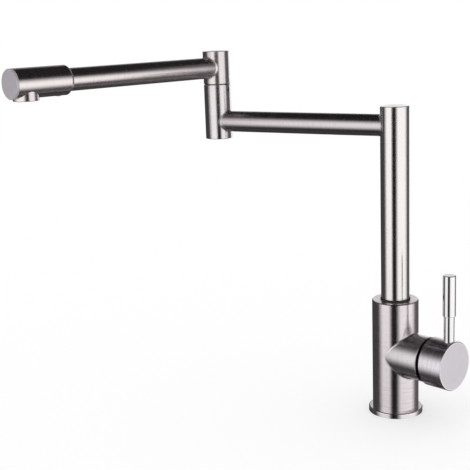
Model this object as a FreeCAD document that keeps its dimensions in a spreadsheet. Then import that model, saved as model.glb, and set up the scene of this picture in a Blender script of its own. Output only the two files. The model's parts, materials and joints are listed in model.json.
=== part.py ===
"""Swivel kitchen faucet with a folding two-part spout, in millimetres.

The frame has its origin at the centre of the base, on the deck. +Z points up, and +X points along the
valve barrel towards the handle. The driving sizes are in the table below. They go into the sheet named
Sizes, and every piece is bound to its cells.
"""
import FreeCAD, Part
import math
import os
import Sketcher
from types import SimpleNamespace

# Driving sizes, in millimetres, degrees or shares, as their names say
SIZES = {
    # Clearances that more than one piece uses
    "fit_gap": 0.03,
    "running_gap": 0.05,
    "weld_gap": 0.02,
    "overrun": 2.0,
    # Base on the deck
    "flange_margin": 4.0,
    "flange_height": 5.0,
    "flange_edge": 1.2,
    "flange_foot_width": 2.5,
    "base_seal_height": 2.0,
    "base_step": 4.0,
    "base_spigot_lift": 0.3,
    # Valve body and its side barrel
    "body_edge": 0.8,
    "barrel_height": 62.0,
    "barrel_inset": 0.5,
    "barrel_reach": 41.0,
    "barrel_wall": 3.0,
    "barrel_edge": 0.5,
    "barrel_weld": 2.0,
    "mouth_depth": 8.0,
    "mouth_step": 1.75,
    "chamber_gap": 0.25,
    "port_side": 7.0,
    "port_drop": 5.0,
    "port_rise": 7.5,
    "port_run": 6.0,
    "inlet_port_radius": 2.8,
    "outlet_port_radius": 3.6,
    "waterway_radius": 3.0,
    "outlet_way_radius": 4.2,
    # Hot and cold inlets
    "inlet_radius": 5.0,
    "inlet_length": 14.0,
    # Shank and its fixings under a deck
    "shank_inset": 3.0,
    "shank_wall": 3.0,
    "shank_socket_depth": 14.0,
    "shank_drop": 55.0,
    "shank_edge": 1.0,
    "deck_thickness": 20.0,
    "gasket_radius": 26.0,
    "gasket_thickness": 3.0,
    "washer_radius": 25.0,
    "washer_thickness": 2.0,
    "nut_wall": 6.0,
    "nut_height": 10.0,
    # Swivel at the foot of the riser
    "riser_floor_wall": 4.25,
    "riser_socket_inset": 3.5,
    "riser_lock_rise": 6.5,
    "riser_lock_drop": 4.0,
    "riser_lock_radius": 2.5,
    "riser_recess_depth": 10.0,
    "riser_recess_gap": 0.8,
    "riser_spigot_wall": 3.95,
    "riser_spigot_plug": 16.0,
    "riser_collar_height": 2.0,
    "slip_ring_height": 0.8,
    "lock_groove_depth": 1.5,
    "lock_play": 0.2,
    "lock_screw_inset": 0.3,
    "ring_section_radius": 1.0,
    "ring_groove_play": 0.1,
    "ring_pitch": 6.0,
    # Riser and first arm
    "riser_radius": 14.0,
    "riser_wall": 1.5,
    "riser_length": 191.5,
    "cap_thickness": 2.5,
    "cap_plug_height": 4.0,
    "cap_edge": 0.6,
    "arm_radius": 10.75,
    "arm_wall": 1.5,
    "first_arm_drop": 19.0,
    "first_arm_reach": 200.0,
    "first_arm_turn_deg": 195.5,
    # Elbow of two stacked barrels
    "elbow_radius": 14.0,
    "elbow_wall": 2.0,
    "elbow_drop": 18.0,
    "elbow_rise": 39.0,
    "elbow_top_rise": 17.0,
    "elbow_edge": 0.5,
    "elbow_socket_wall": 2.45,
    "elbow_spigot_wall": 3.47,
    "elbow_spigot_plug": 7.0,
    "elbow_slip_inset": 0.9,
    "elbow_lock_drop": 6.0,
    "elbow_lock_rise": 11.0,
    "elbow_lock_radius": 2.0,
    "elbow_lock_turn_deg": 12.0,
    # Second arm and spout head
    "second_arm_rise": 17.0,
    "second_arm_turn_deg": 268.5,
    "arm_end_gap": 2.0,
    "head_step": 3.25,
    "head_wall": 2.0,
    "head_start": 183.5,
    "head_shoulder": 3.3,
    "head_lip": 0.45,
    "head_length": 61.5,
    "head_sleeve_margin": 3.5,
    "head_cap_edge": 0.4,
    "head_plug_height": 1.2,
    "head_screw_radius": 2.0,
    "head_screw_margin": 0.6,
    "head_screw_stand": 0.4,
    # Nozzle and aerator
    "nozzle_margin": 1.6,
    "nozzle_inset": 2.1,
    "nozzle_stand": 2.0,
    "nozzle_throat": 1.0,
    "nozzle_edge": 0.4,
    "nozzle_wall": 2.65,
    "aerator_inset": 0.5,
    "aerator_wall": 1.55,
    "aerator_lip": 0.9,
    "aerator_height": 6.1,
    "aerator_washer_height": 1.4,
    "jet_radius": 1.1,
    "jet_ring_share": 0.6,
    "screen_height": 0.6,
    "screen_pitch_share": 0.26,
    "screen_hole": 1.1,
    # Cartridge of the usual 35 mm, measured from the barrel's mouth inwards
    "cartridge_radius": 17.5,
    "housing_collar": 9.0,
    "turret_shoulder_gap": 0.2,
    "turret_flange_height": 2.8,
    "turret_flange_gap": 0.2,
    "turret_inset": 5.0,
    "cage_wall": 2.5,
    "cage_lip": 2.0,
    "carrier_gap": 0.55,
    "carrier_height": 5.4,
    "carrier_lip": 1.0,
    "carrier_wall": 2.0,
    "disc_height": 3.0,
    "disc_film": 0.05,
    "disc_offset": 1.9,
    "moving_disc_inset": 3.0,
    "mixing_wall": 4.5,
    "mixing_depth": 1.5,
    "base_plate_height": 4.0,
    "base_rim_height": 2.5,
    "base_cup_wall": 4.0,
    "seal_section_radius": 0.75,
    "pivot_depth": 13.0,
    "pin_radius": 2.0,
    "pin_inset": 0.6,
    "stem_width": 8.0,
    "stem_slot_gap": 0.1,
    "stem_slot_end_wall": 3.95,
    "stem_tail": 6.0,
    "stem_end_depth": 5.0,
    "stem_ball_depth": 1.45,
    "stem_ball_radius": 2.2,
    "stem_ball_gap": 0.1,
    "stem_neck_radius": 1.5,
    "cartridge_nut_height": 5.3,
    "cartridge_nut_play": 0.6,
    "nut_notch_width": 4.0,
    "nut_notch_depth": 2.0,
    # Domed trim in the mouth of the barrel
    "dome_lip": 2.42,
    "dome_wall": 1.2,
    "dome_cover": 3.2,
    "dome_skirt_wall": 1.2,
    "dome_skirt_depth": 2.6,
    # Handle
    "hub_overhang": 1.5,
    "hub_wall": 2.5,
    "hub_rim_gap": 5.2,
    "hub_rim_lean_deg": 2.2,
    "hub_length": 24.8,
    "hub_edge": 0.5,
    "hub_boss_length": 6.0,
    "hub_boss_radius": 9.0,
    "hub_cap_inset": 0.8,
    "hub_cap_thickness": 1.2,
    "hub_screw_radius": 2.5,
    "hub_screw_length": 10.0,
    "plug_radius": 3.0,
    "plug_length": 3.6,
    "plug_inset": 0.3,
    "plug_margin": 0.5,
    "lever_margin": 0.3,
    "lever_seat_depth": 2.5,
    "lever_stem_radius": 5.1,
    "lever_stem_length": 25.0,
    "lever_grip_radius": 6.2,
    "lever_grip_length": 40.0,
    "lever_edge": 0.8,
    "lever_step_edge": 0.3,
    "lever_stud_radius": 3.0,
    "lever_stud_length": 9.0,
    # Grub screws
    "hex_key_share": 0.5,
    "hex_depth_share": 0.8,
}


class Size:
    """A number together with the sheet formula that it comes from."""

    def __init__(self, value, text):
        self.value = value
        self.text = text

    def __add__(self, other):
        other = as_size(other)
        return Size(self.value + other.value, f"({self.text} + {other.text})")

    def __sub__(self, other):
        other = as_size(other)
        return Size(self.value - other.value, f"({self.text} - {other.text})")

    def __mul__(self, other):
        other = as_size(other)
        return Size(self.value * other.value, f"({self.text} * {other.text})")

    def __truediv__(self, other):
        other = as_size(other)
        return Size(self.value / other.value, f"({self.text} / {other.text})")

    def __neg__(self):
        return Size(-self.value, f"(0 - {self.text})")


def as_size(number):
    """A plain number as a Size, so that the two can be mixed in a sum."""
    if isinstance(number, Size):
        return number
    return Size(float(number), str(number))


def leg(hypotenuse, other_leg):
    """The third side of a right triangle."""
    square = hypotenuse * hypotenuse - other_leg * other_leg
    return Size(math.sqrt(square.value), f"sqrt({square.text})")


def hypotenuse(first_leg, second_leg):
    """The longest side of a right triangle."""
    square = first_leg * first_leg + second_leg * second_leg
    return Size(math.sqrt(square.value), f"sqrt({square.text})")


def cosine(angle):
    return Size(math.cos(math.radians(angle.value)), f"cos({angle.text})")


def sine(angle):
    return Size(math.sin(math.radians(angle.value)), f"sin({angle.text})")


doc = FreeCAD.newDocument("SwivelKitchenFaucet")
sheet = doc.addObject("Spreadsheet::Sheet", "Sizes")
sheet.set("A1", "size")
sheet.set("B1", "value")
for row, (alias, value) in enumerate(SIZES.items(), start=2):
    sheet.set(f"A{row}", alias)
    sheet.set(f"B{row}", str(value))
    sheet.setAlias(f"B{row}", alias)
doc.recompute()
s = SimpleNamespace(**{alias: Size(value, f"Sizes.{alias}") for alias, value in SIZES.items()})

SUBPARTS = []
X_AXIS = FreeCAD.Vector(1, 0, 0)
Y_AXIS = FreeCAD.Vector(0, 1, 0)
Z_AXIS = FreeCAD.Vector(0, 0, 1)
QUARTER_TURN = 90
FULL_TURN = 360
HEXAGON_TURN = 60
JETS = 8
SCREEN_SLOTS = 7
NEARLY_ZERO = 1e-6


# Placing and binding
def bind(thing, prop, size):
    """Sets a property now and ties it to the sheet."""
    thing.setExpression(prop, as_size(size).text)


def place(thing, x=0, y=0, z=0, turn_deg=None):
    """Puts an object at a point, turned about the vertical."""
    for letter, size in (("x", x), ("y", y), ("z", z)):
        if isinstance(size, Size):
            bind(thing, f"Placement.Base.{letter}", size)
    if turn_deg is not None:
        thing.Placement = FreeCAD.Placement(FreeCAD.Vector(), FreeCAD.Rotation(Z_AXIS, turn_deg.value))
        bind(thing, "Placement.Rotation.Angle", turn_deg)


def new_body(label, **where):
    """A sub-part's own body, named after its node."""
    body = doc.addObject("PartDesign::Body", label)
    body.Label = label
    place(body, **where)
    SUBPARTS.append(body)
    return body


def origin_plane(body, role):
    return next(plane for plane in body.Origin.OriginFeatures if plane.Role == role)


def new_sketch(body, name, role="XZ_Plane"):
    sketch = body.newObject("Sketcher::SketchObject", name)
    sketch.AttachmentSupport = [(origin_plane(body, role), "")]
    sketch.MapMode = "FlatFace"
    return sketch


def tie_point(sketch, edge, end, x, y):
    """Ties one end of an edge to the sketch's axes by two dimensions."""
    for kind, size, axis in (("DistanceX", x, -2), ("DistanceY", y, -1)):
        if not isinstance(size, Size):
            sketch.addConstraint(Sketcher.Constraint("PointOnObject", edge, end, axis))
            continue
        number = sketch.addConstraint(Sketcher.Constraint(kind, -1, 1, edge, end, size.value))
        bind(sketch, f"Constraints[{number}]", size)


def vector(x, y):
    return FreeCAD.Vector(as_size(x).value, as_size(y).value, 0)


def outline(body, name, points, arcs=None, role="XZ_Plane"):
    """A closed outline through points; arcs maps an edge's number to its radius, bulging to its right."""
    arcs = arcs or {}
    sketch = new_sketch(body, name, role)
    count = len(points)
    for edge, (x, y) in enumerate(points):
        start = vector(x, y)
        end = vector(*points[(edge + 1) % count])
        if edge not in arcs:
            sketch.addGeometry(Part.LineSegment(start, end), False)
            continue
        radius = arcs[edge].value
        middle = (start + end) * 0.5
        half = (end - start).Length / 2
        left = FreeCAD.Vector(start.y - end.y, end.x - start.x, 0).normalize()
        centre = middle + left * math.sqrt(radius * radius - half * half)
        crown = centre - left * radius
        sketch.addGeometry(Part.Arc(start, crown, end), False)
    for edge in range(count):
        tie_point(sketch, edge, start_of(sketch, edge, points[edge]), *points[edge])
        following = (edge + 1) % count
        sketch.addConstraint(Sketcher.Constraint("Coincident", edge,
                                                 start_of(sketch, edge, points[following]), following,
                                                 start_of(sketch, following, points[following])))
    for edge, radius in arcs.items():
        number = sketch.addConstraint(Sketcher.Constraint("Radius", edge, radius.value))
        bind(sketch, f"Constraints[{number}]", radius)
    return sketch


def start_of(sketch, edge, point):
    """Which end of an edge, 1 or 2, lies at a point."""
    spot = vector(*point)
    return min((1, 2), key=lambda end: (sketch.getPoint(edge, end) - spot).Length)


def revolve(body, name, points, axis="V_Axis", arcs=None, cut=False):
    """A full turn of an outline about one of its sketch's axes."""
    sketch = outline(body, f"{name}_outline", points, arcs)
    kind = "PartDesign::Groove" if cut else "PartDesign::Revolution"
    feature = body.newObject(kind, name)
    feature.Profile = sketch
    feature.ReferenceAxis = (sketch, [axis])
    feature.Angle = FULL_TURN
    return feature


def primitive(body, kind, name, sizes, x=0, y=0, z=0, along=Z_AXIS):
    """A solid added to or cut from a body, starting at a point and running along an axis."""
    feature = body.newObject(f"PartDesign::{kind}", name)
    for prop, size in sizes.items():
        bind(feature, prop, size)
    feature.Placement = FreeCAD.Placement(FreeCAD.Vector(), FreeCAD.Rotation(Z_AXIS, along))
    place(feature, x, y, z)
    return feature


def drill(body, name, radius, depth, x=0, y=0, z=0, along=Z_AXIS):
    """A round hole that starts at a point and runs along an axis."""
    return primitive(body, "SubtractiveCylinder", name, {"Radius": radius, "Height": depth}, x, y, z, along)


def drill_through(body, name, radius, half_length, x=0, y=0, z=0, along=Y_AXIS):
    """A round hole that runs the same length each way from a point."""
    shift = {"x": x, "y": y, "z": z}
    for letter, part in (("x", along.x), ("y", along.y), ("z", along.z)):
        if part:
            shift[letter] = as_size(shift[letter]) - half_length
    return drill(body, name, radius, half_length * 2, along=along, **shift)


def mill(body, name, length, width, height, x, y, z):
    """A square-cornered hole centred on a point."""
    sizes = {"Length": length, "Width": width, "Height": height}
    corner = [as_size(middle) - size / 2 for middle, size in ((x, length), (y, width), (z, height))]
    return primitive(body, "SubtractiveBox", name, sizes, *corner)


def pick_edges(shape, test):
    return [f"Edge{number}" for number, edge in enumerate(shape.Edges, start=1) if test(edge)]


def round_edges(body, name, base, radius, test):
    """Rounds the edges of a feature that pass a test."""
    doc.recompute()
    fillet = body.newObject("PartDesign::Fillet", name)
    fillet.Base = (base, pick_edges(base.Shape, test))
    bind(fillet, "Radius", radius)
    return fillet


def tube_outline(inner, outer, low, high):
    return [(inner, low), (outer, low), (outer, high), (inner, high)]


def bar_outline(low, high, inner, outer):
    """The outline of a tube that lies along X."""
    return [(low, inner), (low, outer), (high, outer), (high, inner)]


def ring_group(label, major, minor, centres, **where):
    """Identical rubber rings in one node."""
    rings = []
    for number, (x, y, z, along) in enumerate(centres, start=1):
        ring = doc.addObject("Part::Torus", f"{label}_{number}")
        bind(ring, "Radius1", major[number - 1])
        bind(ring, "Radius2", minor)
        ring.Placement = FreeCAD.Placement(FreeCAD.Vector(), FreeCAD.Rotation(Z_AXIS, along))
        place(ring, x, y, z)
        rings.append(ring)
    group = doc.addObject("Part::Compound", label)
    group.Label = label
    group.Links = rings
    place(group, **where)
    SUBPARTS.append(group)
    return group


def grub_screw(label, radius, tip, head, along_x, **where):
    """A headless screw along X, from its tip to its head, with a hexagon socket in the head."""
    body = new_body(label, **where)
    bevel = radius * s.hex_key_share / 2
    revolve(body, f"{label}_shank", [
        (tip, 0), (tip, radius - bevel), (tip + bevel * along_x, radius), (head, radius), (head, 0),
    ], "H_Axis")
    key = radius * s.hex_key_share
    depth = radius * s.hex_depth_share
    turns = [as_size(HEXAGON_TURN) * number for number in (1, 2, 4, 5)]
    corners = [(cosine(turn) * key, sine(turn) * key) for turn in turns]
    corners = [(key, 0)] + corners[:2] + [(-key, 0)] + corners[2:]
    sketch = outline(body, f"{label}_hexagon", corners, role="YZ_Plane")
    bind(sketch, "AttachmentOffset.Base.z", head)
    socket = body.newObject("PartDesign::Pocket", f"{label}_socket")
    socket.Profile = sketch
    bind(socket, "Length", depth)
    socket.Reversed = along_x < 0
    return body


# Radii that several pieces share
chamber_radius = s.cartridge_radius + s.chamber_gap
mouth_radius = chamber_radius + s.mouth_step
barrel_radius = mouth_radius + s.barrel_wall
body_radius = barrel_radius + s.barrel_inset
flange_radius = body_radius + s.flange_margin
base_spigot_radius = body_radius - s.base_step
shank_radius = base_spigot_radius - s.shank_inset
shank_bore_radius = shank_radius - s.shank_wall
riser_bore = s.riser_radius - s.riser_wall
riser_socket_radius = s.riser_radius - s.riser_socket_inset
riser_spigot_radius = riser_socket_radius - s.running_gap
riser_spigot_bore = riser_spigot_radius - s.riser_spigot_wall
arm_bore = s.arm_radius - s.arm_wall
elbow_bore = s.elbow_radius - s.elbow_wall
elbow_socket_radius = elbow_bore - s.fit_gap
elbow_spigot_room = elbow_socket_radius - s.elbow_socket_wall
elbow_spigot_radius = elbow_spigot_room - s.running_gap
elbow_spigot_bore = elbow_spigot_radius - s.elbow_spigot_wall
head_radius = s.arm_radius + s.head_step
head_bore = head_radius - s.head_wall
nozzle_radius = head_radius - s.nozzle_inset
aerator_radius = nozzle_radius - s.nozzle_wall
ring_groove = s.ring_section_radius + s.ring_groove_play

# The cartridge, from the mouth of the barrel inwards
fixed_disc_radius = s.cartridge_radius - s.base_cup_wall
moving_disc_radius = fixed_disc_radius - s.moving_disc_inset
cage_radius = s.cartridge_radius - s.cage_wall
turret_radius = cage_radius - s.cage_lip
mouth_start = s.barrel_reach - s.mouth_depth
cage_top = mouth_start - s.housing_collar
turret_shoulder = cage_top - s.turret_shoulder_gap
turret_start = turret_shoulder - s.turret_flange_height
carrier_top = turret_start - s.carrier_gap
carrier_start = carrier_top - s.carrier_height
moving_disc_top = carrier_start + s.carrier_lip
moving_disc_start = moving_disc_top - s.disc_height
fixed_disc_top = moving_disc_start - s.disc_film
plate_top = fixed_disc_top - s.disc_height
cage_start = plate_top + s.base_rim_height
chamber_floor = plate_top - s.base_plate_height
waterway_place = chamber_floor - s.port_run
pivot_place = s.barrel_reach - s.pivot_depth
stem_ball_arm = pivot_place - carrier_top + s.stem_ball_depth
half_stem = s.stem_width / 2

# The handle, from the barrel outwards and upwards
hub_radius = barrel_radius + s.hub_overhang
hub_cap_radius = hub_radius - s.hub_cap_inset
hub_rim_place = s.barrel_reach + s.hub_rim_gap
hub_reach = hub_rim_place + s.hub_length
hub_cap_seat = hub_reach - s.hub_cap_thickness
lever_place = hub_cap_seat - s.lever_margin - s.lever_stem_radius
hub_web_start = lever_place - s.lever_stem_radius - s.lever_margin
hub_boss_start = hub_web_start - s.hub_boss_length
hub_screw_place = hub_web_start + s.plug_margin + s.plug_radius
stem_reach = hub_reach - s.stem_end_depth
lever_step_height = s.barrel_height + hub_radius + s.lever_stem_length
lever_top = lever_step_height + s.lever_grip_length

# The riser and the elbow, from the barrel upwards
riser_socket_floor = s.barrel_height + chamber_radius + s.riser_floor_wall
riser_ring_heights = [riser_socket_floor + s.ring_pitch, riser_socket_floor + s.ring_pitch * 2]
riser_lock_height = riser_ring_heights[-1] + s.riser_lock_rise
riser_recess_floor = riser_lock_height + s.riser_lock_drop
riser_start = riser_recess_floor + s.slip_ring_height + s.riser_collar_height
body_top = riser_recess_floor + s.riser_recess_depth
riser_top = body_top + s.riser_length
first_arm_height = riser_top - s.first_arm_drop
elbow_bottom = first_arm_height - s.elbow_drop
elbow_split = first_arm_height + s.elbow_rise
elbow_lower_top = elbow_split - s.slip_ring_height / 2
elbow_upper_start = elbow_split + s.slip_ring_height / 2
elbow_lock_height = elbow_split - s.elbow_lock_drop
elbow_upper_ring = elbow_lock_height - s.elbow_lock_rise
elbow_ring_heights = [elbow_upper_ring - s.ring_pitch, elbow_upper_ring]
elbow_socket_floor = elbow_upper_ring - s.ring_pitch * 2
second_arm_height = elbow_split + s.second_arm_rise
elbow_top = second_arm_height + s.elbow_top_rise
elbow_x = cosine(s.first_arm_turn_deg) * s.first_arm_reach
elbow_y = sine(s.first_arm_turn_deg) * s.first_arm_reach

# The spout head, along the second arm
head_first_ring = s.head_start + s.head_shoulder + s.ring_section_radius
head_ring_places = [head_first_ring, head_first_ring + s.ring_section_radius * 3]
head_screw_place = head_ring_places[-1] + ring_groove + s.head_screw_margin + s.head_screw_radius
head_sleeve_end = head_screw_place + s.head_screw_radius + s.head_sleeve_margin
second_arm_end = head_sleeve_end - s.arm_end_gap
head_reach = s.head_start + s.head_length
nozzle_place = head_reach - s.cap_thickness - s.nozzle_margin - nozzle_radius
nozzle_drop = head_radius + s.nozzle_stand
nozzle_bottom = second_arm_height - nozzle_drop
aerator_top = nozzle_bottom + s.aerator_inset + s.aerator_height
aerator_washer_top = aerator_top + s.aerator_washer_height
nozzle_top = aerator_washer_top + s.nozzle_throat

at_barrel = {"z": s.barrel_height}
at_first_arm = {"z": first_arm_height, "turn_deg": s.first_arm_turn_deg}
at_elbow = {"x": elbow_x, "y": elbow_y}
at_second_arm = {"x": elbow_x, "y": elbow_y, "z": second_arm_height, "turn_deg": s.second_arm_turn_deg}


# Base and valve body
def make_base_flange():
    """The polished ring that the body stands on, hollow underneath for its seal."""
    body = new_body("base_flange")
    inner = base_spigot_radius + s.fit_gap
    seat = flange_radius - s.flange_foot_width
    flange = revolve(body, "ring", [
        (seat, 0), (flange_radius, 0), (flange_radius, s.flange_height), (inner, s.flange_height),
        (inner, s.base_seal_height), (seat, s.base_seal_height),
    ])
    rim = flange_radius.value
    top = s.flange_height.value
    round_edges(body, "rim_rounding", flange, s.flange_edge, lambda edge: is_circle(edge, rim, top))


def is_circle(edge, radius, height):
    """Whether an edge is a level circle of a given radius and height."""
    curve = edge.Curve
    near = s.fit_gap.value / 2
    if not isinstance(curve, Part.Circle) or curve.Axis.cross(Z_AXIS).Length > NEARLY_ZERO:
        return False
    return abs(curve.Radius - radius) < near and abs(curve.Center.z - height) < near


def make_base_seal():
    body = new_body("base_seal")
    inner = base_spigot_radius + s.fit_gap
    outer = flange_radius - s.flange_foot_width - s.fit_gap
    revolve(body, "ring", tube_outline(inner, outer, 0, s.base_seal_height - s.fit_gap))


def make_valve_body():
    """The upright body, with the waterways and the sockets inside."""
    body = new_body("valve_body")
    revolve(body, "trunk", [
        (0, s.base_spigot_lift), (base_spigot_radius, s.base_spigot_lift),
        (base_spigot_radius, s.flange_height), (body_radius, s.flange_height),
        (body_radius, body_top - s.body_edge), (body_radius - s.body_edge, body_top), (0, body_top),
    ])
    drill(body, "cartridge_chamber", chamber_radius, s.barrel_reach, chamber_floor, 0, s.barrel_height, X_AXIS)
    drill(body, "shank_socket", shank_radius + s.fit_gap, s.shank_socket_depth)
    port_height = s.barrel_height - s.port_drop
    inlet_top = s.shank_socket_depth + s.inlet_length
    for name, side in (("hot", s.port_side), ("cold", -s.port_side)):
        drill(body, f"{name}_inlet_thread", s.inlet_radius, s.inlet_length, waterway_place, side,
              s.shank_socket_depth)
        drill(body, f"{name}_waterway", s.waterway_radius, port_height - inlet_top, waterway_place, side,
              inlet_top)
        drill(body, f"{name}_port", s.inlet_port_radius, s.port_run, waterway_place, side, port_height, X_AXIS)
    outlet_height = s.barrel_height + s.port_rise
    drill(body, "outlet_port", s.outlet_port_radius, s.port_run, waterway_place, 0, outlet_height, X_AXIS)
    drill(body, "outlet_waterway", s.outlet_way_radius, riser_socket_floor - outlet_height, waterway_place, 0,
          outlet_height)
    drill(body, "riser_socket", riser_socket_radius, body_top, 0, 0, riser_socket_floor)
    drill(body, "riser_recess", s.riser_radius + s.riser_recess_gap, body_top, 0, 0, riser_recess_floor)
    drill(body, "lock_screw_hole", s.riser_lock_radius + s.fit_gap, body_radius * 2, 0, 0, riser_lock_height,
          -X_AXIS)


def make_valve_barrel():
    """The side barrel that holds the cartridge, flared by its weld where it meets the upright body."""
    body = new_body("valve_barrel", **at_barrel)
    half_stub = barrel_radius + s.barrel_weld + s.overrun
    primitive(body, "AdditiveCylinder", "body_stub", {"Radius": body_radius, "Height": half_stub * 2},
              z=-half_stub)
    barrel = primitive(body, "AdditiveCylinder", "barrel", {"Radius": barrel_radius, "Height": s.barrel_reach},
                       along=X_AXIS)
    round_edges(body, "weld_rounding", barrel, s.barrel_weld, is_weld_edge)
    doc.recompute()
    rim = body.newObject("PartDesign::Chamfer", "rim_bevel")
    welded = doc.getObject("weld_rounding")
    rim_start = (s.barrel_reach - s.fit_gap).value
    rim.Base = (welded, pick_edges(welded.Shape, lambda edge: edge.BoundBox.XMin > rim_start))
    bind(rim, "Size", s.barrel_edge)
    drill_through(body, "body_saddle", body_radius + s.weld_gap, half_stub + s.overrun, along=Z_AXIS)
    drill(body, "cartridge_chamber", chamber_radius, s.barrel_reach, chamber_floor, 0, 0, X_AXIS)
    drill(body, "nut_thread", mouth_radius, s.barrel_reach, mouth_start, 0, 0, X_AXIS)


def is_weld_edge(edge):
    """Whether an edge is the curve where the barrel meets the upright body."""
    box = edge.BoundBox
    near = s.fit_gap.value
    in_front = box.XMin > 0 and box.XMax < body_radius.value + near
    reach = barrel_radius.value + near
    return in_front and box.ZMin > -reach and box.ZMax < reach


def make_shank():
    body = new_body("mounting_shank")
    top = s.shank_socket_depth - s.fit_gap
    revolve(body, "threaded_tube", [
        (shank_bore_radius, -s.shank_drop), (shank_radius - s.shank_edge, -s.shank_drop),
        (shank_radius, s.shank_edge - s.shank_drop), (shank_radius, top), (shank_bore_radius, top),
    ])


def make_deck_fixings():
    """The rubber gasket, steel washer and hexagon nut that clamp the deck from below."""
    bore = shank_radius + s.fit_gap
    gasket_bottom = -s.deck_thickness - s.gasket_thickness
    washer_bottom = gasket_bottom - s.washer_thickness
    gasket = new_body("deck_gasket")
    revolve(gasket, "ring", tube_outline(bore, s.gasket_radius, gasket_bottom, -s.deck_thickness))
    washer = new_body("deck_washer")
    revolve(washer, "ring", tube_outline(bore, s.washer_radius, washer_bottom, gasket_bottom))
    blank = doc.addObject("Part::Prism", "nut_blank")
    blank.Polygon = 6
    bind(blank, "Circumradius", (shank_radius + s.nut_wall) / cosine(as_size(HEXAGON_TURN) / 2))
    bind(blank, "Height", s.nut_height)
    thread = doc.addObject("Part::Cylinder", "nut_thread_bore")
    bind(thread, "Radius", bore)
    bind(thread, "Height", s.nut_height)
    nut = doc.addObject("Part::Cut", "mounting_nut")
    nut.Base = blank
    nut.Tool = thread
    nut.Label = "mounting_nut"
    place(nut, z=washer_bottom - s.nut_height)
    SUBPARTS.append(nut)


# Cartridge
def ports(body, name, inlet, outlet, start, depth):
    """The two inlet holes and the outlet hole that every plate of the cartridge has."""
    for side_name, side in (("hot", s.port_side), ("cold", -s.port_side)):
        drill(body, f"{name}_{side_name}", inlet, depth, start, side, -s.port_drop, X_AXIS)
    drill(body, f"{name}_outlet", outlet, depth, start, 0, s.port_rise, X_AXIS)


def make_cartridge_base():
    body = new_body("cartridge_base", **at_barrel)
    disc_room = fixed_disc_radius + s.fit_gap
    revolve(body, "cup", [
        (chamber_floor, 0), (chamber_floor, s.cartridge_radius), (cage_start, s.cartridge_radius),
        (cage_start, disc_room), (plate_top, disc_room), (plate_top, 0),
    ], "H_Axis")
    ports(body, "port", s.inlet_port_radius, s.outlet_port_radius, chamber_floor, s.base_plate_height)
    room = (s.seal_section_radius + s.fit_gap) * 2
    ports(body, "seal_seat", s.inlet_port_radius + room, s.outlet_port_radius + room, chamber_floor, room)


def make_cartridge_seals():
    lift = chamber_floor + s.seal_section_radius
    stand = s.seal_section_radius + s.fit_gap
    inlet_ring = s.inlet_port_radius + stand
    outlet_ring = s.outlet_port_radius + stand
    ring_group("cartridge_seals", (inlet_ring, inlet_ring, outlet_ring), s.seal_section_radius, [
        (lift, s.port_side, -s.port_drop, X_AXIS),
        (lift, -s.port_side, -s.port_drop, X_AXIS),
        (lift, 0, s.port_rise, X_AXIS),
    ], **at_barrel)


def make_discs():
    """The two ceramic discs that open and mix the water, and the carrier that slides the upper one."""
    fixed = new_body("fixed_disc", **at_barrel)
    revolve(fixed, "disc", [
        (plate_top, 0), (plate_top, fixed_disc_radius), (fixed_disc_top, fixed_disc_radius),
        (fixed_disc_top, 0),
    ], "H_Axis")
    ports(fixed, "port", s.inlet_port_radius, s.outlet_port_radius, plate_top, s.disc_height)
    centre = s.barrel_height - s.disc_offset
    moving = new_body("moving_disc", z=centre)
    revolve(moving, "disc", [
        (moving_disc_start, 0), (moving_disc_start, moving_disc_radius),
        (moving_disc_top, moving_disc_radius), (moving_disc_top, 0),
    ], "H_Axis")
    pocket = moving_disc_radius - s.mixing_wall
    drill(moving, "mixing_pocket", pocket, s.mixing_depth, moving_disc_start, 0, 0, X_AXIS)
    carrier = new_body("disc_carrier", z=centre)
    room = moving_disc_radius + s.fit_gap
    outer = moving_disc_radius + s.carrier_wall
    seat = moving_disc_top + s.fit_gap
    revolve(carrier, "cup", [
        (carrier_start, room), (carrier_start, outer), (carrier_top, outer), (carrier_top, 0), (seat, 0),
        (seat, room),
    ], "H_Axis")
    slot = (s.stem_ball_radius + s.stem_ball_gap) * 2
    mill(carrier, "ball_slot", s.carrier_height * 2, slot, slot, carrier_top, 0, s.disc_offset)


def make_cartridge_housing():
    body = new_body("cartridge_housing", **at_barrel)
    revolve(body, "cage", [
        (cage_start, cage_radius), (cage_start, s.cartridge_radius), (mouth_start, s.cartridge_radius),
        (mouth_start, turret_radius), (cage_top, turret_radius), (cage_top, cage_radius),
    ], "H_Axis")


def make_turret():
    """The part of the cartridge that turns with the lever, with the slot and pin that the stem tilts in."""
    body = new_body("cartridge_turret", **at_barrel)
    neck = turret_radius - s.running_gap
    flange = cage_radius - s.turret_flange_gap
    reach = s.barrel_reach - s.turret_inset
    revolve(body, "neck", [
        (turret_start, 0), (turret_start, flange), (turret_shoulder, flange), (turret_shoulder, neck),
        (reach, neck), (reach, 0),
    ], "H_Axis")
    slot = s.stem_width + s.stem_slot_gap * 2
    slot_height = (neck - s.stem_slot_end_wall) * 2
    mill(body, "stem_slot", reach * 2, slot, slot_height, reach, 0, 0)
    drill_through(body, "pin_hole", s.pin_radius + s.fit_gap, neck + s.overrun, pivot_place)
    pin = new_body("stem_pin", x=pivot_place, z=s.barrel_height)
    half_pin = neck - s.pin_inset
    primitive(pin, "AdditiveCylinder", "pin", {"Radius": s.pin_radius, "Height": half_pin * 2},
              y=-half_pin, along=Y_AXIS)


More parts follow.
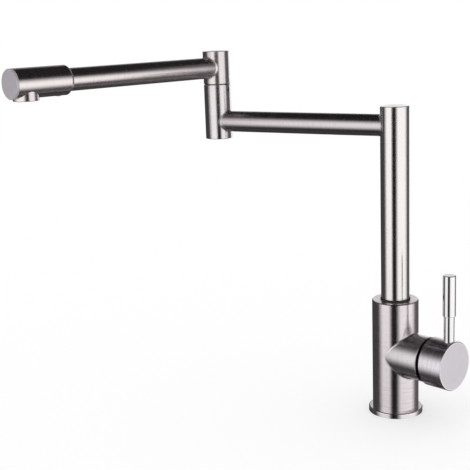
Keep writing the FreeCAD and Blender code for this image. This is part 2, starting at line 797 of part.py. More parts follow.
def make_stem():
    """The square stem: the hub is clamped on its outer end, and the ball on its inner end moves the disc."""
    body = new_body("cartridge_stem", x=pivot_place, z=s.barrel_height)
    reach = stem_reach - pivot_place
    primitive(body, "AdditiveBox", "bar",
              {"Length": reach + s.stem_tail, "Width": s.stem_width, "Height": s.stem_width},
              -s.stem_tail, -half_stem, -half_stem)
    primitive(body, "AdditiveCylinder", "neck",
              {"Radius": s.stem_neck_radius, "Height": stem_ball_arm - s.stem_tail / 2},
              x=-stem_ball_arm, along=X_AXIS)
    primitive(body, "AdditiveSphere", "ball", {"Radius": s.stem_ball_radius}, x=-stem_ball_arm)
    drill_through(body, "pin_hole", s.pin_radius + s.running_gap, s.stem_width)


def make_cartridge_nut():
    body = new_body("cartridge_nut", **at_barrel)
    top = mouth_start + s.cartridge_nut_height
    outer = mouth_radius - s.fit_gap
    revolve(body, "ring", bar_outline(mouth_start, top, turret_radius + s.cartridge_nut_play, outer), "H_Axis")
    across = (outer + s.overrun) * 2
    mill(body, "notch_level", s.nut_notch_depth * 2, across, s.nut_notch_width, top, 0, 0)
    mill(body, "notch_upright", s.nut_notch_depth * 2, s.nut_notch_width, across, top, 0, 0)


def make_trim_dome():
    """The domed ring that closes the mouth of the barrel. It is part of a sphere about the tilt pivot."""
    body = new_body("trim_dome", x=pivot_place, z=s.barrel_height)
    rim = s.barrel_reach - pivot_place + s.fit_gap
    rim_radius = mouth_radius + s.dome_lip
    outer_radius = hypotenuse(rim, rim_radius)
    inner_radius = outer_radius - s.dome_wall
    opening = mouth_radius - s.dome_cover
    skirt_outer = mouth_radius - s.fit_gap
    skirt_inner = skirt_outer - s.dome_skirt_wall
    skirt_foot = rim - s.dome_skirt_depth
    revolve(body, "shell", [
        (rim, rim_radius), (leg(outer_radius, opening), opening), (leg(inner_radius, opening), opening),
        (leg(inner_radius, skirt_inner), skirt_inner), (skirt_foot, skirt_inner), (skirt_foot, skirt_outer),
        (rim, skirt_outer),
    ], "H_Axis", {0: outer_radius})


# Handle
def make_handle_hub():
    """The handle's round hub, cut on a slant where it faces the barrel."""
    body = new_body("handle_hub", **at_barrel)
    cavity = hub_radius - s.hub_wall
    rim_start = hub_rim_place - s.hub_wall * 2
    cap_room = hub_cap_radius + s.fit_gap
    revolve(body, "shell", [
        (rim_start, cavity), (rim_start, hub_radius), (hub_reach - s.hub_edge, hub_radius),
        (hub_reach, hub_radius - s.hub_edge), (hub_reach, cap_room), (hub_cap_seat, cap_room),
        (hub_cap_seat, 0), (hub_boss_start, 0), (hub_boss_start, s.hub_boss_radius),
        (hub_web_start, s.hub_boss_radius), (hub_web_start, cavity),
    ], "H_Axis")
    slant = body.newObject("PartDesign::SubtractiveBox", "slanted_rim")
    across = hub_radius * 4
    for prop, size in (("Length", hub_rim_place), ("Width", across), ("Height", across)):
        bind(slant, prop, size)
    lean = FreeCAD.Rotation(-Y_AXIS, s.hub_rim_lean_deg.value)
    slant.Placement = FreeCAD.Placement(FreeCAD.Vector(), lean)
    bind(slant, "Placement.Rotation.Angle", s.hub_rim_lean_deg)
    # The box's far face passes through the rim's middle, so its corner is found back along the lean
    back = cosine(s.hub_rim_lean_deg) * hub_rim_place - sine(s.hub_rim_lean_deg) * across / 2
    drop = cosine(s.hub_rim_lean_deg) * across / 2 + sine(s.hub_rim_lean_deg) * hub_rim_place
    bind(slant, "Placement.Base.x", hub_rim_place - back)
    bind(slant, "Placement.Base.y", -across / 2)
    bind(slant, "Placement.Base.z", -drop)
    socket = s.stem_width + s.fit_gap * 2
    depth = stem_reach + s.fit_gap
    mill(body, "stem_socket", depth * 2, socket, socket, 0, 0, 0)
    stud_floor = hub_radius - s.lever_seat_depth - s.lever_stud_length - s.fit_gap
    drill(body, "lever_stud_hole", s.lever_stud_radius + s.fit_gap, hub_radius, lever_place, 0, stud_floor)
    drill(body, "lever_seat", s.lever_stem_radius + s.fit_gap, hub_radius, lever_place, 0,
          hub_radius - s.lever_seat_depth)
    drill(body, "set_screw_hole", s.hub_screw_radius + s.fit_gap, hub_radius * 2, hub_screw_place, 0, 0,
          -Z_AXIS)
    plug_top = hub_radius - s.plug_inset - s.plug_length
    drill(body, "plug_seat", s.plug_radius + s.fit_gap, hub_radius, hub_screw_place, 0, -plug_top, -Z_AXIS)


def make_hub_cap():
    body = new_body("hub_cap", **at_barrel)
    revolve(body, "disc", [
        (hub_cap_seat, 0), (hub_cap_seat, hub_cap_radius), (hub_reach, hub_cap_radius), (hub_reach, 0),
    ], "H_Axis")


def make_hub_fastening():
    """The grub screw that clamps the hub on the stem, and the plug that hides it."""
    screw = new_body("hub_set_screw", x=hub_screw_place, z=s.barrel_height)
    top = -half_stem
    low = top - s.hub_screw_length
    key = s.hub_screw_radius * s.hex_key_share
    socket_top = low + s.hub_screw_radius * s.hex_depth_share
    revolve(screw, "shank", [
        (0, socket_top), (key, socket_top), (key, low), (s.hub_screw_radius, low), (s.hub_screw_radius, top),
        (0, top),
    ])
    plug = new_body("index_plug", x=hub_screw_place, z=s.barrel_height)
    foot = s.plug_inset - hub_radius
    revolve(plug, "plug", [
        (0, foot), (s.plug_radius, foot), (s.plug_radius, foot + s.plug_length), (0, foot + s.plug_length),
    ])


def make_lever_pin():
    """The upright lever, turned from one bar: a stud, a slim stem and a thicker grip."""
    body = new_body("lever_pin", x=lever_place)
    seat = s.barrel_height + hub_radius - s.lever_seat_depth
    foot = seat - s.lever_stud_length
    step = lever_step_height
    revolve(body, "bar", [
        (0, foot), (s.lever_stud_radius, foot), (s.lever_stud_radius, seat), (s.lever_stem_radius, seat),
        (s.lever_stem_radius, step), (s.lever_grip_radius - s.lever_step_edge, step),
        (s.lever_grip_radius, step + s.lever_step_edge), (s.lever_grip_radius, lever_top - s.lever_edge),
        (s.lever_grip_radius - s.lever_edge, lever_top), (0, lever_top),
    ], arcs={7: s.lever_edge})


# Swivelling riser, elbow and arms
def spigot_outline(bore, radius, low, lock_height, lock_play_radius, ring_heights, head):
    """A bored spigot's outline, with a groove for each ring and one for the lock screw; head closes it."""
    ring_floor = radius - s.ring_section_radius * 2 - s.fit_gap
    points = [(bore, low), (radius, low)]
    for height in ring_heights:
        points += [(radius, height - ring_groove), (ring_floor, height - ring_groove),
                   (ring_floor, height + ring_groove), (radius, height + ring_groove)]
    lock_floor = radius - s.lock_groove_depth
    points += [(radius, lock_height - lock_play_radius), (lock_floor, lock_height - lock_play_radius),
               (lock_floor, lock_height + lock_play_radius), (radius, lock_height + lock_play_radius)]
    return points + head


def make_riser_spigot():
    body = new_body("riser_spigot")
    collar = riser_recess_floor + s.slip_ring_height
    plug = riser_bore - s.fit_gap
    top = riser_start + s.riser_spigot_plug
    low = riser_socket_floor + s.overrun
    revolve(body, "spigot", spigot_outline(
        riser_spigot_bore, riser_spigot_radius, low, riser_lock_height, s.riser_lock_radius + s.lock_play,
        riser_ring_heights, [
            (riser_spigot_radius, collar), (s.riser_radius, collar), (s.riser_radius, riser_start),
            (plug, riser_start), (plug, top), (riser_spigot_bore, top),
        ]))


def make_riser_rings():
    centre = riser_spigot_radius - s.ring_section_radius
    places = [(0, 0, height, Z_AXIS) for height in riser_ring_heights]
    ring_group("riser_o_rings", (centre, centre), s.ring_section_radius, places)
    ring = new_body("riser_slip_ring")
    inner = riser_socket_radius + s.running_gap
    floor = riser_recess_floor
    revolve(ring, "ring", tube_outline(inner, s.riser_radius, floor + s.weld_gap,
                                       floor + s.slip_ring_height - s.weld_gap))
    tip = riser_spigot_radius - s.lock_groove_depth + s.lock_play
    head = body_radius - s.lock_screw_inset
    grub_screw("riser_lock_screw", s.riser_lock_radius, -tip, -head, -1, z=riser_lock_height)


def cap_outline(radius, plug, top, edge):
    """A turned end cap: a bevelled disc over a plug that fits in the tube."""
    seat = top - s.cap_thickness
    return [(0, seat - s.cap_plug_height), (plug, seat - s.cap_plug_height), (plug, seat), (radius, seat),
            (radius, top - edge), (radius - edge, top), (0, top)]


def make_riser():
    tube = new_body("riser_tube")
    seat = riser_top - s.cap_thickness
    revolve(tube, "tube", tube_outline(riser_bore, s.riser_radius, riser_start, seat))
    hole = drill(tube, "arm_opening", arm_bore, s.riser_radius * 2, 0, 0, first_arm_height)
    outward = FreeCAD.Rotation(s.first_arm_turn_deg.value, QUARTER_TURN, 0)
    hole.Placement = FreeCAD.Placement(hole.Placement.Base, outward)
    bind(hole, "Placement.Base.z", first_arm_height)
    cap = new_body("riser_cap")
    revolve(cap, "cap", cap_outline(s.riser_radius, riser_bore - s.fit_gap, riser_top, s.cap_edge),
            arcs={4: s.cap_edge})


def make_first_arm():
    tube = new_body("first_arm_tube", **at_first_arm)
    revolve(tube, "tube", bar_outline(0, s.first_arm_reach, arm_bore, s.arm_radius), "H_Axis")
    height = s.arm_radius + s.overrun
    drill_through(tube, "riser_saddle", s.riser_radius + s.weld_gap, height, along=Z_AXIS)
    drill_through(tube, "elbow_saddle", s.elbow_radius + s.weld_gap, height, s.first_arm_reach, along=Z_AXIS)


def make_elbow_lower():
    """The longer barrel of the elbow, which the first arm carries, with its bush, cap and lock screw."""
    barrel = new_body("elbow_lower_barrel", turn_deg=s.first_arm_turn_deg, **at_elbow)
    seat = elbow_bottom + s.cap_thickness
    revolve(barrel, "tube", [
        (elbow_bore, seat), (s.elbow_radius, seat), (s.elbow_radius, elbow_lower_top - s.elbow_edge),
        (s.elbow_radius - s.elbow_edge, elbow_lower_top), (elbow_bore, elbow_lower_top),
    ])
    drill(barrel, "arm_opening", arm_bore, s.elbow_radius * 2, 0, 0, first_arm_height, -X_AXIS)
    lock_hole(barrel, "lock_screw_hole", s.elbow_lock_turn_deg - s.first_arm_turn_deg)
    cap = new_body("elbow_lower_cap", **at_elbow)
    plug = elbow_bore - s.fit_gap
    revolve(cap, "cap", [
        (0, elbow_bottom), (s.elbow_radius - s.cap_edge, elbow_bottom),
        (s.elbow_radius, elbow_bottom + s.cap_edge), (s.elbow_radius, seat), (plug, seat),
        (plug, seat + s.cap_plug_height), (0, seat + s.cap_plug_height),
    ], arcs={1: s.cap_edge})
    bush = new_body("elbow_bush", turn_deg=s.elbow_lock_turn_deg, **at_elbow)
    revolve(bush, "sleeve", tube_outline(elbow_spigot_room, elbow_socket_radius, elbow_socket_floor,
                                         elbow_lower_top))
    drill(bush, "lock_screw_hole", s.elbow_lock_radius + s.fit_gap, s.elbow_radius, 0, 0, elbow_lock_height,
          X_AXIS)
    tip = elbow_spigot_radius - s.lock_groove_depth + s.lock_play
    screw = {"z": elbow_lock_height, "turn_deg": s.elbow_lock_turn_deg, **at_elbow}
    grub_screw("elbow_lock_screw", s.elbow_lock_radius, tip, s.elbow_radius - s.lock_screw_inset, 1, **screw)


def lock_hole(body, name, turn_deg):
    """The lock screw's hole through the wall of the lower barrel."""
    hole = drill(body, name, s.elbow_lock_radius + s.fit_gap, s.elbow_radius * 2, 0, 0, elbow_lock_height)
    outward = FreeCAD.Rotation(turn_deg.value, QUARTER_TURN, 0)
    hole.Placement = FreeCAD.Placement(hole.Placement.Base, outward)
    bind(hole, "Placement.Base.z", elbow_lock_height)


def make_elbow_upper():
    """The shorter barrel of the elbow, which turns on its spigot and carries the second arm."""
    barrel = new_body("elbow_upper_barrel", turn_deg=s.second_arm_turn_deg, **at_elbow)
    seat = elbow_top - s.cap_thickness
    revolve(barrel, "tube", [
        (elbow_bore, elbow_upper_start), (s.elbow_radius - s.elbow_edge, elbow_upper_start),
        (s.elbow_radius, elbow_upper_start + s.elbow_edge), (s.elbow_radius, seat), (elbow_bore, seat),
    ])
    drill(barrel, "arm_opening", arm_bore, s.elbow_radius * 2, 0, 0, second_arm_height, X_AXIS)
    cap = new_body("elbow_upper_cap", **at_elbow)
    revolve(cap, "cap", cap_outline(s.elbow_radius, elbow_bore - s.fit_gap, elbow_top, s.elbow_edge),
            arcs={4: s.elbow_edge})
    spigot = new_body("elbow_spigot", **at_elbow)
    plug_top = elbow_upper_start + s.elbow_spigot_plug
    low = elbow_socket_floor + s.overrun
    revolve(spigot, "spigot", spigot_outline(
        elbow_spigot_bore, elbow_spigot_radius, low, elbow_lock_height, s.elbow_lock_radius + s.lock_play,
        elbow_ring_heights, [
            (elbow_spigot_radius, elbow_upper_start), (elbow_socket_radius, elbow_upper_start),
            (elbow_socket_radius, plug_top), (elbow_spigot_bore, plug_top),
        ]))
    centre = elbow_spigot_radius - s.ring_section_radius
    places = [(0, 0, height, Z_AXIS) for height in elbow_ring_heights]
    ring_group("elbow_o_rings", (centre, centre), s.ring_section_radius, places, **at_elbow)
    ring = new_body("elbow_slip_ring", **at_elbow)
    revolve(ring, "ring", tube_outline(elbow_spigot_room + s.running_gap, s.elbow_radius - s.elbow_slip_inset,
                                       elbow_lower_top + s.weld_gap, elbow_upper_start - s.weld_gap))


def make_second_arm():
    tube = new_body("second_arm_tube", **at_second_arm)
    revolve(tube, "tube", bar_outline(0, second_arm_end, arm_bore, s.arm_radius), "H_Axis")
    height = s.arm_radius + s.overrun
    drill_through(tube, "elbow_saddle", s.elbow_radius + s.weld_gap, height, along=Z_AXIS)


# Spout head and aerator
def make_spout_head():
    """The thicker head, with a sleeve that slides over the arm and an opening for the nozzle below."""
    body = new_body("spout_head", **at_second_arm)
    sleeve = s.arm_radius + s.fit_gap
    end = head_reach - s.cap_thickness
    lip = s.arm_radius + s.head_lip
    revolve(body, "shell", [
        (s.head_start, sleeve), (s.head_start, lip), (s.head_start + s.head_shoulder, head_radius),
        (end, head_radius), (end, head_bore), (head_sleeve_end, head_bore), (head_sleeve_end, sleeve),
    ], "H_Axis")
    for number, place_along in enumerate(head_ring_places, start=1):
        low = place_along - ring_groove
        high = place_along + ring_groove
        floor = sleeve + s.ring_section_radius * 2
        revolve(body, f"ring_groove_{number}", [(low, s.arm_radius), (low, floor), (high, floor),
                                                (high, s.arm_radius)], "H_Axis", cut=True)
    drill(body, "nozzle_opening", nozzle_radius + s.fit_gap, nozzle_top - nozzle_bottom + s.fit_gap,
          nozzle_place, 0, -nozzle_drop)
    drill(body, "grub_screw_hole", s.head_screw_radius + s.fit_gap, head_radius * 2, head_screw_place, 0, 0,
          -Z_AXIS)
    cap = new_body("head_cap", **at_second_arm)
    plug = head_bore - s.fit_gap
    edge = s.head_cap_edge
    revolve(cap, "cap", [
        (end - s.head_plug_height, 0), (end - s.head_plug_height, plug), (end, plug),
        (end, head_radius), (head_reach - edge, head_radius), (head_reach, head_radius - edge),
        (head_reach, 0),
    ], "H_Axis")


def make_head_fastening():
    """The rings that seal the arm in the head, and the grub screw below that clamps it."""
    centre = s.arm_radius + s.fit_gap + s.ring_section_radius
    section = s.ring_section_radius - s.fit_gap / 2
    places = [(place_along, 0, 0, X_AXIS) for place_along in head_ring_places]
    ring_group("head_o_rings", (centre, centre), section, places, **at_second_arm)
    screw = new_body("head_lock_screw", **at_second_arm)
    top = -(s.arm_radius + s.fit_gap)
    low = -(head_radius + s.head_screw_stand)
    key = s.head_screw_radius * s.hex_key_share
    socket_top = low + s.head_screw_radius * s.hex_depth_share
    revolve(screw, "shank", [
        (0, socket_top), (key, socket_top), (key, low), (s.head_screw_radius, low), (s.head_screw_radius, top),
        (0, top),
    ])
    bind(screw, "Placement.Base.x", elbow_x + cosine(s.second_arm_turn_deg) * head_screw_place)
    bind(screw, "Placement.Base.y", elbow_y + sine(s.second_arm_turn_deg) * head_screw_place)


def at_nozzle():
    x = elbow_x + cosine(s.second_arm_turn_deg) * nozzle_place
    y = elbow_y + sine(s.second_arm_turn_deg) * nozzle_place
    return {"x": x, "y": y}


def make_nozzle():
    boss = new_body("nozzle_boss", **at_nozzle())
    throat = aerator_radius - s.aerator_wall
    revolve(boss, "ring", [
        (aerator_radius, nozzle_bottom), (nozzle_radius - s.nozzle_edge, nozzle_bottom),
        (nozzle_radius, nozzle_bottom + s.nozzle_edge), (nozzle_radius, nozzle_top), (throat, nozzle_top),
        (throat, aerator_washer_top), (aerator_radius, aerator_washer_top),
    ])


def make_aerator():
    """The aerator's threaded ring, its plastic insert, the wire screen and the rubber washer."""
    low = nozzle_bottom + s.aerator_inset
    outer = aerator_radius - s.fit_gap
    inner = outer - s.aerator_wall
    lip_top = low + s.aerator_lip
    housing = new_body("aerator_housing", **at_nozzle())
    revolve(housing, "ring", [
        (inner - s.aerator_lip, low), (outer, low), (outer, aerator_top), (inner, aerator_top),
        (inner, lip_top), (inner - s.aerator_lip, lip_top),
    ])
    core = inner - s.fit_gap
    screen_top = lip_top + s.screen_height
    screen = new_body("aerator_screen", **at_nozzle())
    revolve(screen, "disc", [(0, lip_top), (core, lip_top), (core, screen_top), (0, screen_top)])
    mesh_radius = core - s.screen_hole
    for number in range(SCREEN_SLOTS):
        offset = mesh_radius * s.screen_pitch_share * (number - SCREEN_SLOTS // 2)
        length = leg(mesh_radius, offset) * 2
        mill(screen, f"slot_{number + 1}", length, s.screen_hole, s.screen_height * 4, 0, offset, lip_top)
    insert = new_body("aerator_insert", **at_nozzle())
    revolve(insert, "disc", [(0, screen_top), (core, screen_top), (core, aerator_top), (0, aerator_top)])
    ring = core * s.jet_ring_share
    for number in range(JETS):
        turn = as_size(FULL_TURN) * number / JETS
        drill(insert, f"jet_{number + 1}", s.jet_radius, s.aerator_height, cosine(turn) * ring,
              sine(turn) * ring, screen_top)
    washer = new_body("aerator_washer", **at_nozzle())
    revolve(washer, "ring", tube_outline(inner, outer, aerator_top, aerator_washer_top))


make_base_flange()
make_base_seal()
make_valve_body()
make_valve_barrel()
make_shank()
make_deck_fixings()
make_cartridge_base()
make_cartridge_seals()
make_discs()
make_cartridge_housing()
make_turret()
make_stem()
make_cartridge_nut()
make_trim_dome()
make_handle_hub()
make_hub_cap()
make_hub_fastening()
make_lever_pin()
make_riser_spigot()
make_riser_rings()
make_riser()
make_first_arm()
make_elbow_lower()
make_elbow_upper()
make_second_arm()
make_spout_head()
make_head_fastening()
make_nozzle()
make_aerator()
doc.recompute()

# Nothing is written until every object and every sub-part's shape is sound
faults = [thing.Name for thing in doc.Objects if "Invalid" in thing.State or "Error" in thing.State]
faults += [part.Label for part in SUBPARTS if part.Shape.isNull() or not part.Shape.isValid()]
if faults:
    raise RuntimeError(f"these failed: {', '.join(faults)}")
os.makedirs("parts", exist_ok=True)
for part in SUBPARTS:
    part.Shape.exportStep(f"parts/{part.Label}.step")
    print(f"{part.Label}: {len(part.Shape.Solids)} solid, {part.Shape.Volume:.1f} mm3")
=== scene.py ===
# %% [markdown]
# # A folding kitchen tap in brushed steel
# The tap is packed as an assembly of solids: a round body with a side barrel and a lever, a riser that
# swivels, and two arms that fold at an elbow. This notebook keeps those solids as they are and gives
# them what a photograph shows and a solid doesn't have: finishes, small welds, threads and wire mesh.
# The frame comes first, because every piece and every pattern is placed by it. Blender opens with a
# cube, a lamp and a camera of its own, which would be measured as part of the tap, so they go out first.

import json
import math

import bpy
import numpy as np
from mathutils import Matrix, Vector

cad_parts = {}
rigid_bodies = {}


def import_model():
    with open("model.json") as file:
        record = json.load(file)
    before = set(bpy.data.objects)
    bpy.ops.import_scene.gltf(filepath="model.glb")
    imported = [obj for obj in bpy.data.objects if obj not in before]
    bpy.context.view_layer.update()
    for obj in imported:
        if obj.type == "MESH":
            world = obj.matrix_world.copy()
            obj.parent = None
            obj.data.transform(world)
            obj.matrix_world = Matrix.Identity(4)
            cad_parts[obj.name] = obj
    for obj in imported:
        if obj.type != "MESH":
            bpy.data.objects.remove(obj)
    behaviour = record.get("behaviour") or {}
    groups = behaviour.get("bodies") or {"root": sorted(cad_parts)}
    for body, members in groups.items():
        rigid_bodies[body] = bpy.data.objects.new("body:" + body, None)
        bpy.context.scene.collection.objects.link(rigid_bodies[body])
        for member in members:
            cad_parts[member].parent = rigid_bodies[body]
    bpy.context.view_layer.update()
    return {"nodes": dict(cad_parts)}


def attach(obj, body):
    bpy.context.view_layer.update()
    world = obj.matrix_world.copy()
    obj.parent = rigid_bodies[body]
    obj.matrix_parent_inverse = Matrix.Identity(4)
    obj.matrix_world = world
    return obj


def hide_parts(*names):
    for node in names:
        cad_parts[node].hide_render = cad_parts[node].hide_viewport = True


for leftover in list(bpy.data.objects):
    bpy.data.objects.remove(leftover)

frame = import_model()

# %% [markdown]
# ## The camera
# The photograph looks down on the tap by about twelve degrees, from a little over a metre away, with the
# tap's side barrel pointing to the lower right. A camera could be aimed at a target object, but the
# match has to hold to a pixel, and the photograph also leans by two degrees. So the camera's three
# directions are written as the columns of its matrix: right, up and backwards. The focal length was
# found in pixels of the photograph, and the sensor's width turns it into millimetres.

# %% Camera
SENSOR_WIDTH = 36.0
FOCAL_PIXELS, FRAME_PIXELS = 1033.64, 470.0

camera_place = Vector((0.62202, -0.78749, 0.40116))
look = Vector((-0.71855, 0.66275, -0.21083)).normalized()
right = Vector((0.68330, 0.72923, -0.03642))
right = (right - look * right.dot(look)).normalized()
up = right.cross(look)

camera_data = bpy.data.cameras.new("camera")
camera_data.sensor_width = SENSOR_WIDTH
camera_data.lens = SENSOR_WIDTH * FOCAL_PIXELS / FRAME_PIXELS
camera = bpy.data.objects.new("camera", camera_data)
camera.matrix_world = Matrix((
    (right.x, up.x, -look.x, camera_place.x),
    (right.y, up.y, -look.y, camera_place.y),
    (right.z, up.z, -look.z, camera_place.z),
    (0, 0, 0, 1),
))
bpy.context.scene.collection.objects.link(camera)
bpy.context.scene.camera = camera
bpy.context.scene.view_settings.view_transform = "Standard"
to_camera = math.degrees(math.atan2(camera_place.y, camera_place.x))
print("lens", round(camera_data.lens, 2), "mm; camera stands at", round(to_camera, 1), "degrees")

# %% [markdown]
# ## Helpers for shapes
# New pieces are grids: two parameters, a whole array of points at once, and faces that join neighbours.
# A grid may close on itself in either direction, as a ring does. The same shapes could be modelled by
# hand or with modifiers, but a formula says where each point lies and can be checked. What it doesn't
# say is which side of a face is outside, so a second helper measures that and turns the faces.

# %% Grids
def show(name, mesh):
    """An object at the origin with that mesh, in the scene."""
    piece = bpy.data.objects.new(name, mesh)
    bpy.context.scene.collection.objects.link(piece)
    return piece


def grid_piece(name, points, around=True, along=False, rounded=True):
    """A mesh from points of shape (rows, columns, 3).

    Corner (i, j) is joined with (i, j+1), (i+1, j+1) and (i+1, j) into one four-sided face. Where
    around is set the last column is joined to the first, and where along is set the last row too.
    """
    rows, columns = points.shape[:2]
    i = np.arange(rows if along else rows - 1)[:, None]
    j = np.arange(columns if around else columns - 1)[None, :]
    a, b = i * columns + j, i * columns + (j + 1) % columns
    c, d = ((i + 1) % rows) * columns + (j + 1) % columns, ((i + 1) % rows) * columns + j
    faces = np.stack(np.broadcast_arrays(a, b, c, d), -1).reshape(-1, 4)
    mesh = bpy.data.meshes.new(name)
    mesh.vertices.add(rows * columns)
    mesh.vertices.foreach_set("co", points.reshape(-1).astype(np.float32))
    mesh.loops.add(faces.size)
    mesh.loops.foreach_set("vertex_index", faces.reshape(-1).astype(np.int32))
    mesh.polygons.add(len(faces))
    mesh.polygons.foreach_set("loop_start", np.arange(0, faces.size, 4, dtype=np.int32))
    mesh.polygons.foreach_set("use_smooth", np.full(len(faces), rounded))
    mesh.update(calc_edges=True)
    mesh.validate()
    return show(name, mesh)


def round_points(r, t, h):
    """Points at the distance r, the turn t and the height h: (r cos t, r sin t, h)."""
    return np.stack(np.broadcast_arrays(r * np.cos(t), r * np.sin(t), h), -1)


print("a square's corners:", round_points(1.0, np.arange(4) * np.pi / 2, 0.0).round(1).tolist())


# %% Outward faces and a soft rise
def outward(piece):
    """Turns the faces outwards: the sum of a·(b×c) over all triangles is six times the volume, and it
    is negative where the faces look inwards."""
    mesh = piece.data
    mesh.calc_loop_triangles()
    corners = np.empty(len(mesh.loop_triangles) * 3, dtype=np.int32)
    mesh.loop_triangles.foreach_get("vertices", corners)
    places = np.empty(len(mesh.vertices) * 3, dtype=np.float32)
    mesh.vertices.foreach_get("co", places)
    a, b, c = np.moveaxis(places.reshape(-1, 3)[corners.reshape(-1, 3)].astype(float), 1, 0)
    if np.einsum("ij,ij->i", a, np.cross(b, c)).sum() < 0:
        mesh.flip_normals()
    return piece


def smooth(x):
    """Rises from nothing to one as x goes from 0 to 1, level at both ends: x² (3 − 2x)."""
    x = np.clip(x, 0, 1)
    return x * x * (3 - 2 * x)


print("a soft rise:", smooth(np.linspace(0, 1, 5)).tolist())

# %% [markdown]
# ## Helpers for materials
# A material is a tree of nodes. It could be wired by hand in the shader editor, or node by node in a
# script, which makes a page of links that hides what the material does. Short helpers name the few
# steps that come back in every material, so that each one reads as a recipe.

# %% Nodes
# Between these two lie most values of a noise
NOISE_LOW, NOISE_HIGH = 0.3, 0.7


def add(tree, kind, inputs=None, **settings):
    """A node of that kind with its settings made and its inputs set or linked, by name or by number."""
    node = tree.nodes.new(kind)
    for key, value in settings.items():
        setattr(node, key, value)
    for key, value in (inputs or {}).items():
        if isinstance(value, bpy.types.NodeSocket):
            tree.links.new(value, node.inputs[key])
        else:
            node.inputs[key].default_value = value
    return node


def calc(tree, operation, *values):
    """The result of a Math node."""
    return add(tree, "ShaderNodeMath", dict(enumerate(values)), operation=operation).outputs[0]


def vector_calc(tree, operation, first, second=None, scale=None):
    """The result of a Vector Math node: a number for a product, length or distance, else a vector."""
    given = {0: first, 1: second, "Scale": scale}
    given = {key: value for key, value in given.items() if value is not None}
    node = add(tree, "ShaderNodeVectorMath", given, operation=operation)
    number = operation in ("DOT_PRODUCT", "LENGTH", "DISTANCE")
    return node.outputs["Value" if number else "Vector"]


def noise(tree, place, scale, detail):
    """A noise between nothing and one, mostly near a half."""
    return add(tree, "ShaderNodeTexNoise", {
        "Vector": place, "Scale": scale, "Detail": detail}).outputs["Fac"]


def blend_range(tree, value, low, high, start=0.0, end=1.0):
    """Turns value from start…end into low…high in a straight line, and holds it there outside."""
    made = add(tree, "ShaderNodeMapRange", {
        "Value": value, "From Min": start, "From Max": end, "To Min": low, "To Max": high})
    return made.outputs["Result"]


def mix_colour(tree, share, first, second):
    """The first colour where share is nothing and the second where it is one."""
    made = add(tree, "ShaderNodeMix", {"Factor": share, 6: first, 7: second}, data_type="RGBA")
    return made.outputs[2]


def bump(tree, height, strength, distance):
    """A normal that leans as a relief of that height would make it."""
    return add(tree, "ShaderNodeBump", {
        "Height": height, "Strength": strength, "Distance": distance}).outputs["Normal"]


# %% Materials and groups
def new_material(name):
    """A material with nothing in its tree yet, and that tree."""
    made = bpy.data.materials.new(name)
    made.use_nodes = True
    made.node_tree.nodes.clear()
    return made, made.node_tree


def cover_with(tree, shader):
    """Gives the material that shader for its surface."""
    add(tree, "ShaderNodeOutputMaterial", {"Surface": shader.outputs[0]})


def new_group(name, inputs, outputs):
    """A shader node group with named sockets: inputs are (name, type, value), outputs (name, type)."""
    tree = bpy.data.node_groups.new(name, "ShaderNodeTree")
    for socket, kind, value in inputs:
        made = tree.interface.new_socket(socket, in_out="INPUT", socket_type="NodeSocket" + kind)
        made.default_value = value
    for socket, kind in outputs:
        tree.interface.new_socket(socket, in_out="OUTPUT", socket_type="NodeSocket" + kind)
    return tree, tree.nodes.new("NodeGroupInput"), tree.nodes.new("NodeGroupOutput")


print("materials so far:", len(bpy.data.materials))

# %% [markdown]
# ## The white room
# The real tap was photographed on white, with white walls around it. Lamps could light it, but each
# would show as a bright spot in the steel. Polished metal has no look of its own: it shows its room. So
# the room is a plain white world of strength one, in which a colour comes out as it is written.

# %% World
world = bpy.data.worlds.new("white_room")
bpy.context.scene.world = world
world.use_nodes = True
world.node_tree.nodes["Background"].inputs["Color"].default_value = (1, 1, 1, 1)
world.node_tree.nodes["Background"].inputs["Strength"].default_value = 1.0
# An even world has no bright spots, so no map of them is made for sampling
world.cycles.sampling_method = "NONE"
print("world", world.name)

# %% [markdown]
# ## The floor
# The floor is the deck that the tap is screwed to, so it has the hole that the shank goes through. A
# white floor under a white world goes grey near the tap and hides where it ends. The material is split
# by Light Path: the camera sees half a matt white and half a light of its own, which keeps a soft shadow
# and ends in white, and all else sees plain matt white. Its underside is clear, so that what lies below
# the deck is seen through it. In reflections the cards of the next step take its place.

# %% Floor
DECK_HOLE, FLOOR_RADIUS, FLOOR_DROP = 0.0175, 6.0, 2e-5
MATT_WHITE, HALF_WHITE = 0.93, 0.5


def make_floor():
    """A flat ring just under height zero, from the edge of the deck's hole out to FLOOR_RADIUS. The
    turn runs backwards, which makes the faces look up."""
    reach = np.array([DECK_HOLE, 0.05, 0.2, 0.6, 1.5, 3.0, FLOOR_RADIUS])[:, None]
    turn = -np.linspace(0, 2 * np.pi, 64, endpoint=False)[None, :]
    return grid_piece("floor", round_points(reach, turn, -FLOOR_DROP))


def floor_paint():
    """Matt white on top and clear below, with the camera's share as its own light."""
    made, tree = new_material("pale_floor")
    camera_ray = add(tree, "ShaderNodeLightPath").outputs["Is Camera Ray"]
    matt = add(tree, "ShaderNodeBsdfDiffuse", {
        "Color": blend_range(tree, camera_ray, MATT_WHITE, HALF_WHITE)})
    lift = add(tree, "ShaderNodeEmission", {
        "Color": (HALF_WHITE, HALF_WHITE, HALF_WHITE, 1), "Strength": camera_ray})
    lit = add(tree, "ShaderNodeAddShader", {0: matt.outputs[0], 1: lift.outputs[0]})
    clear = add(tree, "ShaderNodeBsdfTransparent")
    below = add(tree, "ShaderNodeNewGeometry").outputs["Backfacing"]
    cover_with(tree, add(tree, "ShaderNodeMixShader", {0: below, 1: lit.outputs[0], 2: clear.outputs[0]}))
    return made


floor = make_floor()
floor.visible_glossy = False
floor.data.materials.append(floor_paint())
print("floor faces", len(floor.data.polygons))

